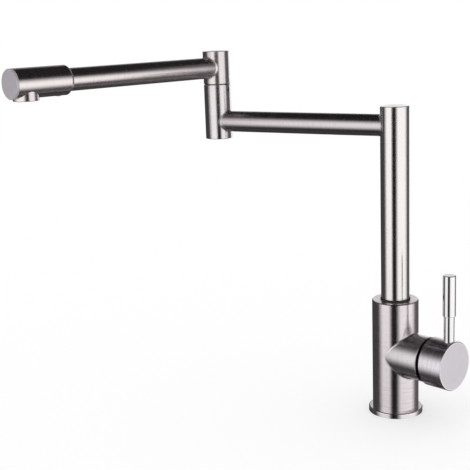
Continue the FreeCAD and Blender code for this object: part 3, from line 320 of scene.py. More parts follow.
# %% [markdown]
# ## Black cards
# The photographer stood black cards around the tap, which draw the dark stripes on the round steel. The
# stripes could be painted on, but then they would stay where they are when an arm swings. Here they are
# real reflections of real cards, with soft edges, as cloth held away from the tap has. The cards are for
# reflections alone: the camera doesn't see them, and they cast no shadow and take no light away.

# %% Black felt
WARM = 1.04


def felt(name, darkness):
    """A faint warm grey where the attribute called cover is one, and clear where it is nothing. WARM is
    how much more red and blue than green the grey has."""
    made, tree = new_material(name)
    cover = add(tree, "ShaderNodeAttribute", attribute_name="cover").outputs["Fac"]
    cloth = add(tree, "ShaderNodeEmission", {
        "Color": (darkness * WARM, darkness, darkness * WARM, 1), "Strength": 1.0})
    clear = add(tree, "ShaderNodeBsdfTransparent")
    cover_with(tree, add(tree, "ShaderNodeMixShader", {0: cover, 1: clear.outputs[0], 2: cloth.outputs[0]}))
    return made


def card(name, points, cover, darkness):
    """A card of felt for reflections alone: rays from the camera, the light and matt faces pass it."""
    made = grid_piece(name, points, around=False)
    shade = made.data.attributes.new("cover", "FLOAT", "POINT")
    shade.data.foreach_set("value", cover.reshape(-1).astype(np.float32))
    made.data.materials.append(felt(name, darkness))
    made.visible_camera = made.visible_diffuse = made.visible_shadow = False
    made.visible_transmission = made.visible_volume_scatter = False
    print(name, len(made.data.polygons), "faces")


# %% Upright cards
CARD_FOOT = -1.5


def upright_card(name, path, tops, soft_start, soft_end, soft_top, darkness):
    """A tall card that stands along a path of floor points, with a height for each point.

    Points between are worked out by the length along the path. The cover rises from nothing to one
    over soft_start and soft_end metres from the two ends, and over soft_top metres down from the top.
    """
    path, tops = np.array(path), np.array(tops)
    length = np.concatenate([[0], np.cumsum(np.linalg.norm(np.diff(path, axis=0), axis=1))])
    along = np.linspace(0, length[-1], 81)[None, :]
    across = np.linspace(0, 1, 41)[:, None]
    x, y, top = (np.interp(along, length, v) for v in (path[:, 0], path[:, 1], tops))
    z = CARD_FOOT + (top - CARD_FOOT) * across
    ends = smooth(along / soft_start) * smooth((length[-1] - along) / soft_end)
    cover = ends * smooth((top - z) / soft_top)
    card(name, np.stack(np.broadcast_arrays(x, y, z), -1), cover, darkness)


upright_card("card_by_the_lens", [(0.054, -0.686), (0.511, -0.220)], tops=[0.62, 0.62],
             soft_start=0.26, soft_end=0.26, soft_top=0.30, darkness=0.012)
upright_card("card_left", [(-0.247, -0.641), (-0.505, -0.454), (-0.66, -0.15), (-0.58, 0.20), (-0.36, 0.42)],
             tops=[0.8, 0.8, 0.7, 0.5, 0.25], soft_start=0.42, soft_end=0.10, soft_top=0.15, darkness=0.05)
upright_card("card_right", [(0.27, 0.13), (0.13, 0.27), (-0.05, 0.42), (-0.20, 0.50)],
             tops=[0.8, 0.8, 0.7, 0.45], soft_start=0.20, soft_end=0.10, soft_top=0.15, darkness=0.10)

# %% Ceiling and table cards
BALL_RADIUS = 4.0
PAST_LEVEL = -12
HIGHEST_AT = -115


def ring_card(name, sign, middle, sway, width, darkness):
    """A dome of felt far above, or a bowl of it far below, that ends in a soft edge round the room.

    It begins past level, at the tilt sign × PAST_LEVEL, and ends straight above or below. At a turn
    round the room, its edge lies at the tilt middle + sway × cos(turn − HIGHEST_AT), with HIGHEST_AT
    the turn where the left card stands tallest. Past the edge the cover rises over width degrees. A
    point lies on a ball: BALL_RADIUS × (cos tilt cos turn, cos tilt sin turn, sin tilt).
    """
    turn = np.linspace(-180, 180, 97)[None, :]
    tilt = sign * np.linspace(PAST_LEVEL, 90, 69)[:, None]
    t, e = np.radians(turn), np.radians(tilt)
    ball = BALL_RADIUS * round_points(np.cos(e), t, np.sin(e))
    edge = middle + sway * np.cos(np.radians(turn - HIGHEST_AT))
    card(name, ball, smooth(0.5 + sign * (tilt - edge) / width), darkness)


ring_card("card_overhead", 1, middle=25.0, sway=6.0, width=42.0, darkness=0.015)
ring_card("card_underneath", -1, middle=-30.0, sway=3.0, width=44.0, darkness=0.02)

# %% [markdown]
# ## Scratches and touches
# The tubes and the round body are stainless steel, brushed on a lathe: an abrasive belt runs across the
# turning tube and leaves fine scratches around it. A picture of scratches would need flat patches on
# every tube. Instead a noise is stretched: quick along the axis and slow around it, so each streak runs
# most of the way round and closes on itself. Every tube has its own axis, so the effect is a node group
# with the axis and centre as inputs. On an end face the same scratches are rings, so the distance from
# the axis counts as well as the place along it. A second group says where hands have been.

# %% Group: scratches around an axis
BAND_SHARE = 0.06


def build_scratch_group():
    """Scratches around an axis. With q the place from the centre, the run along the axis is q · axis,
    and the rest of q, made one long, says where around. The noise is read at
    (around × run) + axis × (along + outward) × lines, so it changes fast across the scratches only.
    Fine has all the lines, and Band only BAND_SHARE of them, for broad soft streaks."""
    tree, given, result = new_group("round_scratches", [
        ("Place", "Vector", (0, 0, 0)), ("Centre", "Vector", (0, 0, 0)), ("Axis", "Vector", (0, 0, 1)),
        ("Lines", "Float", 9000.0), ("Run", "Float", 1.2),
    ], [("Fine", "Float"), ("Band", "Float")])
    take = given.outputs
    q = vector_calc(tree, "SUBTRACT", take["Place"], take["Centre"])
    along = vector_calc(tree, "DOT_PRODUCT", q, take["Axis"])
    foot = vector_calc(tree, "SCALE", take["Axis"], scale=along)
    beside = vector_calc(tree, "SUBTRACT", q, foot)
    around = vector_calc(tree, "SCALE", vector_calc(tree, "NORMALIZE", beside), scale=take["Run"])
    depth = calc(tree, "ADD", along, vector_calc(tree, "LENGTH", beside))
    for name, share, detail in (("Fine", 1.0, 2.0), ("Band", BAND_SHARE, 1.0)):
        across = calc(tree, "MULTIPLY", depth, calc(tree, "MULTIPLY", take["Lines"], share))
        read = vector_calc(tree, "ADD", around, vector_calc(tree, "SCALE", take["Axis"], scale=across))
        lines = add(tree, "ShaderNodeTexNoise", {
            "Vector": read, "Scale": 1.0, "Detail": detail, "Roughness": 0.6})
        tree.links.new(lines.outputs["Fac"], result.inputs[name])
    return tree


round_scratches = build_scratch_group()
print("group", round_scratches.name, "nodes", len(round_scratches.nodes))

# %% Group: touch marks
FINGERS_TO_PALM = 2.7
MARK_STARTS, MARK_FULL = 0.18, 0.42


def build_touch_group():
    """Where hands and cloths have been: two soft noises, one the size of a palm and one of a fingertip,
    multiplied so that a mark shows only where both are high."""
    tree, given, result = new_group("touch_marks", [
        ("Place", "Vector", (0, 0, 0)), ("Size", "Float", 0.02)], [("Mark", "Float")])
    place, size = given.outputs["Place"], given.outputs["Size"]
    coarse = calc(tree, "DIVIDE", 1.0, size)
    palm = noise(tree, place, coarse, 2.0)
    tip = noise(tree, place, calc(tree, "MULTIPLY", coarse, FINGERS_TO_PALM), 3.0)
    both = calc(tree, "MULTIPLY", palm, tip)
    tree.links.new(blend_range(tree, both, 0.0, 1.0, MARK_STARTS, MARK_FULL), result.inputs["Mark"])
    return tree


touch_marks = build_touch_group()
print("group", touch_marks.name, "nodes", len(touch_marks.nodes))

# %% [markdown]
# ## Brushed steel
# Under a belt, steel keeps a row of tiny grooves. Light that falls on them is thrown wide across the
# grooves and hardly at all along them, which turns each reflection into a long soft streak. Very fine
# bump would need far more samples than it is worth, so the shader's own anisotropy does this part, with
# a tangent that follows the scratches. The noise adds what is coarse enough to see: streaks in the
# colour, bands in the roughness and a little relief.

# %% Steel recipe
QUARTER_TURN = 0.25
TOUCH_ROUGHNESS = 0.025
GROOVE = 0.00002
# The near-black of painted shade, for the dark gap between the barrel and the hub
PAINTED_GAP_SHADE = (0.02, 0.019, 0.02, 1)
SHARP_EDGE = 1e-4


def scratch_direction(tree, place, axis, centre):
    """The way that the scratches run at a place: axis × q, with q the place from the centre."""
    q = vector_calc(tree, "SUBTRACT", place, centre)
    turn = vector_calc(tree, "CROSS_PRODUCT", axis, q)
    return add(tree, "ShaderNodeVectorTransform", {"Vector": turn}, vector_type="VECTOR",
               convert_from="OBJECT", convert_to="WORLD").outputs[0]


def steel(name, axis, centre, colour, rough, spread, lines=9000.0, depth=0.05, uneven=0.05, streak=0.10,
          painted_shade_until=None):
    """Bright steel worked round one axis.

    colour is what white light gives back, rough the mean roughness, and spread how much wider the shine
    is across the scratches than along them. The tangent runs along the scratches and is turned by a
    quarter, so the shine is drawn out across them. lines is how many changes a metre has, depth how
    strong the relief is, uneven how far the roughness strays, and streak the share of light that the
    deepest scratches lose. The last argument is a place along X up to which the steel is painted black:
    painted shade for the dark gap between the barrel and the hub, at the foot of a ring in that gap.
    """
    made, tree = new_material(name)
    place = add(tree, "ShaderNodeTexCoord").outputs["Object"]
    worked = add(tree, "ShaderNodeGroup", {
        "Place": place, "Centre": centre, "Axis": axis, "Lines": lines}, node_tree=round_scratches)
    touched = add(tree, "ShaderNodeGroup", {"Place": place}, node_tree=touch_marks)
    fine, band = worked.outputs["Fine"], worked.outputs["Band"]
    dim = tuple(c * (1 - streak) for c in colour)
    bright = blend_range(tree, calc(tree, "ADD", fine, band), 0.0, 1.0, 0.75, 1.1)
    shown = mix_colour(tree, bright, (*dim, 1), (*colour, 1))
    # Painted shade: up to a place along X the steel is painted black, for the shade in the gap between
    # barrel and hub
    if painted_shade_until is not None:
        x = add(tree, "ShaderNodeSeparateXYZ", {0: place}).outputs["X"]
        past_painted_shade = blend_range(tree, x, 0.0, 1.0, painted_shade_until - SHARP_EDGE, painted_shade_until + SHARP_EDGE)
        shown = mix_colour(tree, past_painted_shade, PAINTED_GAP_SHADE, shown)
    ground = blend_range(tree, band, rough - uneven, rough + uneven, NOISE_LOW, NOISE_HIGH)
    cover_with(tree, add(tree, "ShaderNodeBsdfPrincipled", {
        "Base Color": shown, "Metallic": 1.0,
        "Roughness": calc(tree, "MULTIPLY_ADD", touched.outputs["Mark"], TOUCH_ROUGHNESS, ground),
        "Anisotropic": spread, "Anisotropic Rotation": QUARTER_TURN,
        "Tangent": scratch_direction(tree, place, axis, centre), "Normal": bump(tree, fine, depth, GROOVE)}))
    return made


# %% [markdown]
# ## One steel finish for each part
# Every part is brushed, ground or polished on its own before the tap is put together, so the scratches
# go round its own axis, and its steel is a little lighter, darker or warmer than its neighbour's. The
# first arm is the darkest in the photograph, and its darker steel is painted shade for the dimmer
# reflection along it. One material for all would put the scratches of one tube round all the others,
# so each part has its own. The places of the axes are those of the solids.

# %% Axes
def level(degrees):
    """The level direction at that many degrees from +X towards +Y."""
    return (math.cos(math.radians(degrees)), math.sin(math.radians(degrees)), 0.0)


UPRIGHT, SIDEWAYS = (0.0, 0.0, 1.0), (1.0, 0.0, 0.0)
ARM_1, ARM_2 = level(195.5), level(268.5)
ARM_1_HEIGHT, ARM_2_HEIGHT, BARREL_HEIGHT = 0.289, 0.345, 0.062
NOZZLE_ALONG = 0.229
RISER = (0.0, 0.0, 0.0)
ELBOW = (-0.192726, -0.053448, 0.0)
NOZZLE = (ELBOW[0] + ARM_2[0] * NOZZLE_ALONG, ELBOW[1] + ARM_2[1] * NOZZLE_ALONG, 0.0)
BARREL = (0.0, 0.0, BARREL_HEIGHT)
ARM_1_START = (0.0, 0.0, ARM_1_HEIGHT)
ARM_2_START = (ELBOW[0], ELBOW[1], ARM_2_HEIGHT)
LEVER = (0.0644, 0.0, 0.0)
print("nozzle at", [round(x, 4) for x in NOZZLE])

# %% Steel finishes
BODY_STEEL, BARREL_STEEL, HUB_STEEL = (0.978, 0.894, 0.924), (0.990, 0.935, 0.955), (0.990, 0.945, 0.990)
# The first arm's steel is a darker copy of the arm steel: painted shade for the dimmer reflection along that
# arm
ARM_1_SHADED_STEEL, ARM_2_STEEL, ELBOW_STEEL = (0.765, 0.708, 0.730), (0.968, 0.885, 0.884), (0.915, 0.858, 0.868)
RISER_STEEL, LEVER_STEEL, FOOT_STEEL = (0.953, 0.910, 0.905), (0.985, 0.965, 0.975), (0.985, 0.955, 0.962)
AERATOR_STEEL = (0.62, 0.60, 0.60)
# The dome's foot is painted black up to this place along X: painted shade for the gap between barrel and hub
DOME_PAINTED_SHADE_UNTIL = 0.0440

finishes = {}
for name, recipe in {
    "brushed_body": dict(axis=UPRIGHT, centre=RISER, colour=BODY_STEEL, rough=0.20, spread=0.85,
                         lines=12000.0, streak=0.16),
    "satin_riser": dict(axis=UPRIGHT, centre=RISER, colour=RISER_STEEL, rough=0.15, spread=0.7,
                        lines=5000.0, depth=0.015, uneven=0.02, streak=0.03),
    "brushed_elbow": dict(axis=UPRIGHT, centre=ELBOW, colour=ELBOW_STEEL, rough=0.20, spread=0.8),
    "brushed_barrel": dict(axis=SIDEWAYS, centre=BARREL, colour=BARREL_STEEL, rough=0.20, spread=0.8,
                           lines=12000.0, streak=0.16),
    "brushed_arm_1": dict(axis=ARM_1, centre=ARM_1_START, colour=ARM_1_SHADED_STEEL, rough=0.20, spread=0.8,
                          uneven=0.03),
    "brushed_arm_2": dict(axis=ARM_2, centre=ARM_2_START, colour=ARM_2_STEEL, rough=0.20, spread=0.8,
                          uneven=0.03),
    "dome_steel": dict(axis=SIDEWAYS, centre=BARREL, colour=HUB_STEEL, rough=0.25, spread=0.6,
                       painted_shade_until=DOME_PAINTED_SHADE_UNTIL),
    "turned_hub": dict(axis=SIDEWAYS, centre=BARREL, colour=HUB_STEEL, rough=0.20, spread=0.8,
                       lines=12000.0, streak=0.22),
    "polished_lever": dict(axis=UPRIGHT, centre=LEVER, colour=LEVER_STEEL, rough=0.07, spread=0.3,
                           depth=0.02, uneven=0.02, streak=0.03),
    "polished_foot": dict(axis=UPRIGHT, centre=RISER, colour=FOOT_STEEL, rough=0.12, spread=0.5,
                          depth=0.02, uneven=0.02, streak=0.03),
    "turned_nozzle": dict(axis=UPRIGHT, centre=NOZZLE, colour=ARM_2_STEEL, rough=0.24, spread=0.7,
                          lines=6000.0),
    "aerator_steel": dict(axis=UPRIGHT, centre=NOZZLE, colour=AERATOR_STEEL, rough=0.28, spread=0.5),
}.items():
    finishes[name] = steel(name, **recipe)
print("steel finishes", len(finishes))

# %% [markdown]
# ## Matt end discs
# The round end of the handle hub and the end of the spout head are flat discs with an even, light grey
# face and no stripes. They are blasted with fine beads, which leaves thousands of tiny pits and throws
# light back in all directions. A rough metal with a fine even noise does this. Part of the light is
# scattered as by paint, so the disc is as light as its room and not as dark as a card it faces. The
# small screws take the same recipe in a darker grey.

# %% Blasted finishes
PIT_SCALE, PIT_STRENGTH, PIT_DEPTH, PIT_SHADE = 5200.0, 0.15, 0.00008, 0.93
CLOUD_SCALE = 90.0
# A painted highlight: the light grey that stands for the shine on the hub disc's chamfered edge
PAINTED_RIM_HIGHLIGHT = (0.97, 0.95, 0.96, 1)
HUB_FACE, HUB_FACE_RADIUS = (0.071, 0.0, BARREL_HEIGHT), 0.0226


def blasted(name, colour, metal, rough, rim):
    """A bead-blasted face: a fine even noise for the pits, and a soft one for slight unevenness.

    rim is None, or the centre and radius of a disc that is painted bright past that radius: a painted
    highlight for the shine that its chamfered edge catches.
    """
    made, tree = new_material(name)
    place = add(tree, "ShaderNodeTexCoord").outputs["Object"]
    pits = noise(tree, place, PIT_SCALE, 2.0)
    cloud = noise(tree, place, CLOUD_SCALE, 3.0)
    dim = tuple(c * PIT_SHADE for c in colour)
    shown = mix_colour(tree, blend_range(tree, calc(tree, "ADD", pits, cloud), 0.0, 1.0, 0.7, 1.3),
                       (*dim, 1), (*colour, 1))
    # Painted highlight: past the rim's radius the colour turns light grey, for the shine of the edge
    if rim is not None:
        away = vector_calc(tree, "DISTANCE", place, rim[0])
        cut = blend_range(tree, away, 0.0, 1.0, rim[1], rim[1] + SHARP_EDGE)
        shown = mix_colour(tree, cut, shown, PAINTED_RIM_HIGHLIGHT)
    cover_with(tree, add(tree, "ShaderNodeBsdfPrincipled", {
        "Base Color": shown, "Metallic": metal,
        "Roughness": blend_range(tree, cloud, rough - 0.05, rough + 0.05, NOISE_LOW, NOISE_HIGH),
        "Normal": bump(tree, pits, PIT_STRENGTH, PIT_DEPTH)}))
    return made


for name, colour, metal, rough, rim in (
    ("blasted_hub_disc", (0.786, 0.745, 0.786), 0.3, 0.5, (HUB_FACE, HUB_FACE_RADIUS)),
    ("blasted_head_disc", (0.683, 0.643, 0.698), 0.6, 0.5, None),
    ("screw_steel", (0.34, 0.335, 0.33), 1.0, 0.38, None),
):
    finishes[name] = blasted(name, colour, metal, rough, rim)
print("finishes", len(finishes))

# %% [markdown]
# ## Rubber, plastic, ceramic and brass
# What seals and works the tap is hidden until it is taken apart, yet each piece has its own stuff: matt
# rubber rings, moulded plastic of the cartridge, lapped ceramic discs and a machined brass collar. They
# share one recipe, a moulded or ground skin: a fine grain in the bump, a slow cloud in the colour, and a
# shine that changes with the cloud.

# %% Skins
SKIN_CLOUD_SCALE, SKIN_SHADE, GRAIN_DEPTH = 160.0, 0.86, 0.00015


def skin(name, colour, rough, grain, relief, metal):
    """A skin with a fine grain. grain is the grain's size in metres, relief how strong it looks."""
    made, tree = new_material(name)
    place = add(tree, "ShaderNodeTexCoord").outputs["Object"]
    grains = noise(tree, place, 1.0 / grain, 3.0)
    cloud = noise(tree, place, SKIN_CLOUD_SCALE, 2.0)
    dim = tuple(c * SKIN_SHADE for c in colour)
    cover_with(tree, add(tree, "ShaderNodeBsdfPrincipled", {
        "Base Color": mix_colour(tree, blend_range(tree, cloud, 0.0, 1.0, 0.35, 0.65),
                                 (*dim, 1), (*colour, 1)),
        "Metallic": metal,
        "Roughness": blend_range(tree, cloud, rough - 0.06, rough + 0.06, NOISE_LOW, NOISE_HIGH),
        "Normal": bump(tree, grains, relief, GRAIN_DEPTH)}))
    return made


for name, colour, rough, grain, relief, metal in (
    ("machined_brass", (0.80, 0.64, 0.36), 0.30, 0.0004, 0.1, 1.0),
    ("black_rubber", (0.030, 0.030, 0.030), 0.62, 0.0005, 0.3, 0.0),
    ("black_plastic", (0.026, 0.025, 0.026), 0.40, 0.0004, 0.1, 0.0),
    ("red_rubber", (0.42, 0.055, 0.045), 0.55, 0.0005, 0.3, 0.0),
    ("white_plastic", (0.84, 0.84, 0.82), 0.42, 0.0003, 0.15, 0.0),
    ("grey_plastic", (0.29, 0.30, 0.31), 0.45, 0.0003, 0.15, 0.0),
    ("white_ceramic", (0.88, 0.87, 0.84), 0.18, 0.0002, 0.04, 0.0),
):
    finishes[name] = skin(name, colour, rough, grain, relief, metal)
print("finishes", len(finishes))

# %% [markdown]
# ## Which solid has which finish
# Each solid keeps its mesh and gets one finish in its slot. The names of the solids could be searched
# for words, but a written list shows at a glance what each part is made of, and the print at its end
# names any solid that it leaves out. It goes from the steel that shows to what is hidden inside.

# %% Finish every solid
worn_by = {
    "polished_foot": ["base_flange"],
    "brushed_body": ["valve_body"],
    "brushed_barrel": ["valve_barrel"],
    "satin_riser": ["riser_tube", "riser_cap"],
    "dome_steel": ["trim_dome"],
    "turned_hub": ["handle_hub"],
    "blasted_hub_disc": ["hub_cap"],
    "blasted_head_disc": ["head_cap"],
    "polished_lever": ["lever_pin"],
    "brushed_arm_1": ["first_arm_tube"],
    "brushed_arm_2": ["second_arm_tube", "spout_head"],
    "brushed_elbow": ["elbow_lower_barrel", "elbow_lower_cap", "elbow_upper_barrel", "elbow_upper_cap"],
    "turned_nozzle": ["nozzle_boss"],
    "aerator_steel": ["aerator_housing", "aerator_screen"],
    "screw_steel": ["hub_set_screw", "riser_lock_screw", "elbow_lock_screw", "head_lock_screw",
                    "stem_pin", "deck_washer"],
    "machined_brass": ["mounting_shank", "mounting_nut", "riser_spigot", "elbow_spigot", "elbow_bush",
                       "cartridge_nut", "cartridge_stem"],
    "black_plastic": ["riser_slip_ring", "elbow_slip_ring"],
    "black_rubber": ["base_seal", "deck_gasket", "riser_o_rings", "elbow_o_rings", "head_o_rings",
                     "aerator_washer"],
    "red_rubber": ["cartridge_seals"],
    "white_plastic": ["cartridge_housing", "aerator_insert"],
    "grey_plastic": ["index_plug", "cartridge_base", "cartridge_turret", "disc_carrier"],
    "white_ceramic": ["fixed_disc", "moving_disc"],
}
for finish, names in worn_by.items():
    for name in names:
        node = frame["nodes"][name]
        node.data.materials.clear()
        node.data.materials.append(finishes[finish])
left_over = set(frame["nodes"]) - {n for names in worn_by.values() for n in names}
print("solids without a finish:", sorted(left_over))


# %% Fitting a new piece
def fit(piece, body, finish, stands_for=None):
    """Then it gives the piece that finish."""
    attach(piece, body)
    if stands_for is not None:
        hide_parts(stands_for)
    piece.data.materials.append(finishes[finish])
    print(piece.name, len(piece.data.polygons), "faces, on", body)


# %% [markdown]
# ## Welds
# The arms are welded on: the first arm to the riser and to the lower barrel of the elbow, the second arm
# to the upper barrel, and the side barrel to the body. A weld that has been ground and brushed is a small
# hollow curve between two tubes. Blender's bevel can't follow two solids that only touch. The line where
# a round arm meets a round upright can be worked out, though, so the weld is that line with a hollow
# quarter drawn along it.

# %% Weld rings
TUBE_RADIUS, ARM_RADIUS, WELD_LEG = 0.014, 0.01075, 0.0013
BODY_RADIUS, BARREL_RADIUS, BARREL_WELD_LEG = 0.023, 0.0225, 0.0016
WELD_PROUD, WELD_ROOT = 4e-5, 0.0004


def weld(name, foot, upright_radius, direction, height, arm_radius, leg, pinched=False):
    """A hollow ring between an upright cylinder and a level arm.

    At angle t round the arm, the arm's skin lies r cos t beside and r sin t above its axis, and it meets
    the upright at √(R² − (r cos t)²) from the upright's axis. The ring's three guide points are on the
    arm, leg further out; at the meeting line; and on the upright, leg further from the arm's axis. The
    hollow is the curve (1−s)² A + 2 s(1−s) B + s² C, and a fourth point behind B closes it. Its two
    edges stand WELD_PROUD over the skins. Where the arm is as wide as the upright, the two run into
    each other at the sides and leave no corner there: then the leg is pinched to leg × |sin t|.
    """
    t = np.linspace(0, 2 * np.pi, 96, endpoint=False)
    leg = leg * np.abs(np.sin(t)) if pinched else leg

    def skin_point(radius, extra):
        out = np.sqrt(upright_radius ** 2 - (radius * np.cos(t)) ** 2) + extra
        return np.stack([out, radius * np.cos(t), radius * np.sin(t)], -1)

    a = skin_point(arm_radius, leg)
    a[:, 1] += WELD_PROUD * np.cos(t)
    a[:, 2] += WELD_PROUD * np.sin(t)
    b = skin_point(arm_radius, 0.0)
    c = skin_point(arm_radius + leg, WELD_PROUD)
    behind = skin_point(arm_radius - WELD_ROOT, -WELD_ROOT)
    s = np.linspace(0, 1, 9)[:, None, None]
    hollow = (1 - s) ** 2 * a + 2 * s * (1 - s) * b + s ** 2 * c
    local = np.concatenate([hollow, behind[None]])
    axes = np.array([direction, (-direction[1], direction[0], 0.0), UPRIGHT])
    base = np.array([foot[0], foot[1], height])
    return outward(grid_piece(name, base + local @ axes, along=True))


BACK_1 = tuple(-x for x in ARM_1)
for name, foot, direction, height, body, finish in (
    ("weld_riser", RISER, ARM_1, ARM_1_HEIGHT, "first_arm", "brushed_arm_1"),
    ("weld_elbow_lower", ELBOW, BACK_1, ARM_1_HEIGHT, "first_arm", "brushed_arm_1"),
    ("weld_elbow_upper", ELBOW, ARM_2, ARM_2_HEIGHT, "second_arm", "brushed_arm_2"),
):
    arm_weld = weld(name, foot, TUBE_RADIUS, direction, height, ARM_RADIUS, WELD_LEG)
    fit(arm_weld, body, finish)
barrel_weld = weld("weld_barrel", RISER, BODY_RADIUS, SIDEWAYS, BARREL_HEIGHT, BARREL_RADIUS,
                   BARREL_WELD_LEG, pinched=True)
fit(barrel_weld, "fixed_body", "brushed_barrel")

# %% [markdown]
# ## The black lip at the foot of the riser, partly painted shade
# Where the riser turns in the body, a black rubber lip keeps water out. In the photograph it is a dark
# line round the foot of the tube, which is shade in the gap there, so the lip's black is partly painted
# shade. A torus would be a quick stand-in, but a lip has a flat wall and a round top. So it is a turned
# shape: one profile, carried round the axis. The profile is a closed loop of (radius, height) points, so
# the ring has no open seam.

# %% Lip at the riser's foot, black as painted shade
LIP_BORE, LIP_RADIUS = 0.01405, 0.01475
LIP_FOOT, LIP_SHOULDER, LIP_CREST = 0.1120, 0.1172, 0.0009


def turned(name, profile, centre):
    """A closed loop of (radius, height) points turned round an upright axis through centre."""
    t = np.linspace(0, 2 * np.pi, 96, endpoint=False)[None, :]
    ring = round_points(profile[:, :1], t, profile[:, 1:]) + np.array(centre)
    return outward(grid_piece(name, ring, along=True))


def lip_profile():
    """Up the outer wall, over half an oval of height LIP_CREST, and down the bore."""
    a = np.linspace(0, np.pi, 9)
    middle, half = (LIP_RADIUS + LIP_BORE) / 2, (LIP_RADIUS - LIP_BORE) / 2
    crest = np.stack([middle + half * np.cos(a), LIP_SHOULDER + LIP_CREST * np.sin(a)], -1)
    return np.concatenate([[(LIP_RADIUS, LIP_FOOT)], crest, [(LIP_BORE, LIP_FOOT)]])


# The lip's black also stands for the dark line of shade in the gap at the riser's foot: painted shade
shade_lip = turned("riser_shade_lip", lip_profile(), RISER)
fit(shade_lip, "fixed_body", "black_rubber")

# %% [markdown]
# ## The thread under the deck
# The tap is clamped by a nut on a threaded shank. The solid's thread is a plain cylinder, as solids for
# construction often are. A thread could be a screw modifier on a small triangle, which needs care at both
# ends. Here it is a height over the plain shank: the radius falls and rises once per pitch along the
# shank, and the whole pattern shifts by one pitch in a full turn, which is what makes it a helix.

# %% Threaded shank
SHANK_CREST, THREAD_DEPTH, PITCH, BORE = 0.0160, 0.00085, 0.0015, 0.0130
SHANK_LOW, SHANK_TOP, THREAD_TOP = -0.0550, 0.0139, -0.0040
THREAD_FADE, FOOT_CUT = 0.001, 0.0011


def threaded_shank(name):
    """Outside, at height z and turn t, the radius is crest − depth × w, where w = |2 p − 1| and p is the
    part after the point of z / pitch − t / 2π. The depth fades out at the thread's top, and the last
    millimetre at the foot is cut back by 45 degrees. The bore wall and the two end rings close it."""
    t = np.linspace(0, 2 * np.pi, 48, endpoint=False)[None, :]
    z = np.concatenate([[SHANK_TOP], np.linspace(THREAD_TOP + THREAD_FADE, SHANK_LOW, 281)])[:, None]
    phase = (z / PITCH - t / (2 * np.pi)) % 1.0
    fade = smooth((THREAD_TOP - z) / THREAD_FADE)
    r = SHANK_CREST - THREAD_DEPTH * np.abs(2 * phase - 1) * fade
    r = np.minimum(r, SHANK_CREST - FOOT_CUT + (z - SHANK_LOW))
    rings = [round_points(r, t, z), round_points(BORE, t, SHANK_LOW), round_points(BORE, t, SHANK_TOP)]
    return outward(grid_piece(name, np.concatenate(rings), along=True))


shank = threaded_shank("shank_thread")
fit(shank, "fixed_body", "machined_brass", stands_for="mounting_shank")

# %% [markdown]
# ## The nut
# A real nut is a six-sided prism whose corners are turned off to a cone, so each side ends in an arc.
# Cutting a prism with a cone would do it as well. But that arc comes by itself when the radius is the
# smaller of two: the hexagon's and the cone's.

# %% Clamping nut
NUT_LOW, NUT_TOP, NUT_FLAT, NUT_BORE = -0.0350, -0.0250, 0.0220, 0.0161
CORNER_DEPTH, CONE_START, BORE_CUT = 0.0022, 0.985, 0.0008


def clamping_nut(name):
    """At turn t the hexagon's radius is flat / cos(u), with u the turn from the middle of the nearest
    side. At height z the cone's radius is CONE_START × flat + √3 d, with d the distance to the nearer
    face. CORNER_DEPTH is how far down from a face the rings lie close together, to follow the arc."""
    t = np.linspace(0, 2 * np.pi, 180, endpoint=False)[None, :]
    rise = np.append(np.linspace(0, CORNER_DEPTH, 12), (NUT_TOP - NUT_LOW) / 2)
    z = np.concatenate([NUT_LOW + rise, (NUT_TOP - rise[:-1])[::-1]])[:, None]
    u = t % (np.pi / 3) - np.pi / 6
    near = np.minimum(z - NUT_LOW, NUT_TOP - z)
    r = np.minimum(NUT_FLAT / np.cos(u), CONE_START * NUT_FLAT + np.sqrt(3) * near)
    bore = np.array([[NUT_BORE + BORE_CUT, NUT_TOP], [NUT_BORE, NUT_TOP - BORE_CUT],
                     [NUT_BORE, NUT_LOW + BORE_CUT], [NUT_BORE + BORE_CUT, NUT_LOW]])
    rings = [round_points(r, t, z), round_points(bore[:, :1], t, bore[:, 1:])]
    return outward(grid_piece(name, np.concatenate(rings), along=True, rounded=False))


nut = clamping_nut("clamping_nut")
fit(nut, "fixed_body", "machined_brass", stands_for="mounting_nut")

# %% [markdown]
# ## The wire mesh of the aerator
# Seen from below, the nozzle ends in a fine woven mesh, which breaks the water into a soft stream. The
# solid has a few slots instead. A mesh could be a picture with holes, but close to, wires that pass over
# and under each other look right from any side. Each wire is a thin tube along a wave, and its neighbour
# has the opposite wave. A turned ring holds their ends.

# %% Woven wires
MESH_CENTRE = (NOZZLE[0], NOZZLE[1], 0.33070)
MESH_RADIUS, MESH_GAP, WIRE_RADIUS, WAVE_HEIGHT = 0.0074, 0.0008, 0.00012, 0.00013


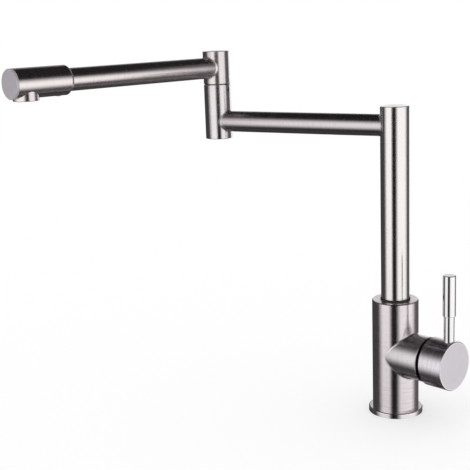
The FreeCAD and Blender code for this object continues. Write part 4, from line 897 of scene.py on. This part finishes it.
def woven(name, centre, radius, gap, wire, wave, turned_by):
    """Parallel wires, gap apart, cut to a circle. Wire k lies at v = gap × k and runs along
    u = ±√(radius² − v²). Its height is wave × cos(π u / gap + π k), so it goes over one crossing wire
    and under the next. Round the wire, a ring of six points makes the tube, and the first and the last
    ring are faces of their own, which close its ends."""
    count = int(radius / gap)
    k = np.arange(-count, count + 1)[:, None, None]
    s = np.linspace(-1, 1, 81)[None, :, None]
    t = (np.arange(6) * np.pi / 3)[None, None, :]
    v = gap * k
    u = np.sqrt(radius ** 2 - v ** 2) * s
    h = wave * np.cos(np.pi * (u / gap + k)) * (1 if turned_by == 0 else -1)
    local_u, local_v, local_h = np.broadcast_arrays(u, v + wire * np.cos(t), h + wire * np.sin(t))
    cos, sin = math.cos(turned_by), math.sin(turned_by)
    points = np.stack([local_u * cos - local_v * sin, local_u * sin + local_v * cos, local_h], -1)
    points = points + np.array(centre)
    wires, steps, sides = points.shape[:3]
    first = np.arange(wires)[:, None, None] * steps * sides
    i, j = np.arange(steps - 1)[None, :, None], np.arange(sides)[None, None, :]
    a, b = first + i * sides + j, first + i * sides + (j + 1) % sides
    skins = np.stack([a, b, b + sides, a + sides], -1).reshape(-1, 4)
    start = first.reshape(-1, 1) + np.arange(sides)
    caps = np.concatenate([start[:, ::-1], start + (steps - 1) * sides])
    mesh = bpy.data.meshes.new(name)
    mesh.from_pydata(points.reshape(-1, 3), [], skins.tolist() + caps.tolist())
    mesh.polygons.foreach_set("use_smooth", np.arange(len(mesh.polygons)) < len(skins))
    return outward(show(name, mesh))


for name, turned_by in (("aerator_wires_long", 0.0), ("aerator_wires_cross", math.pi / 2)):
    wires = woven(name, MESH_CENTRE, MESH_RADIUS, MESH_GAP, WIRE_RADIUS, WAVE_HEIGHT, turned_by)
    fit(wires, "second_arm", "aerator_steel")

# %% The ring round the mesh
RIM_RADIUS, RIM_WIRE = 0.00738, 0.00022
a = np.linspace(0, 2 * np.pi, 8, endpoint=False)
rim_profile = np.stack([RIM_RADIUS + RIM_WIRE * np.cos(a), MESH_CENTRE[2] + RIM_WIRE * np.sin(a)], -1)
mesh_rim = turned("aerator_mesh_rim", rim_profile, NOZZLE)
fit(mesh_rim, "second_arm", "aerator_steel", stands_for="aerator_screen")
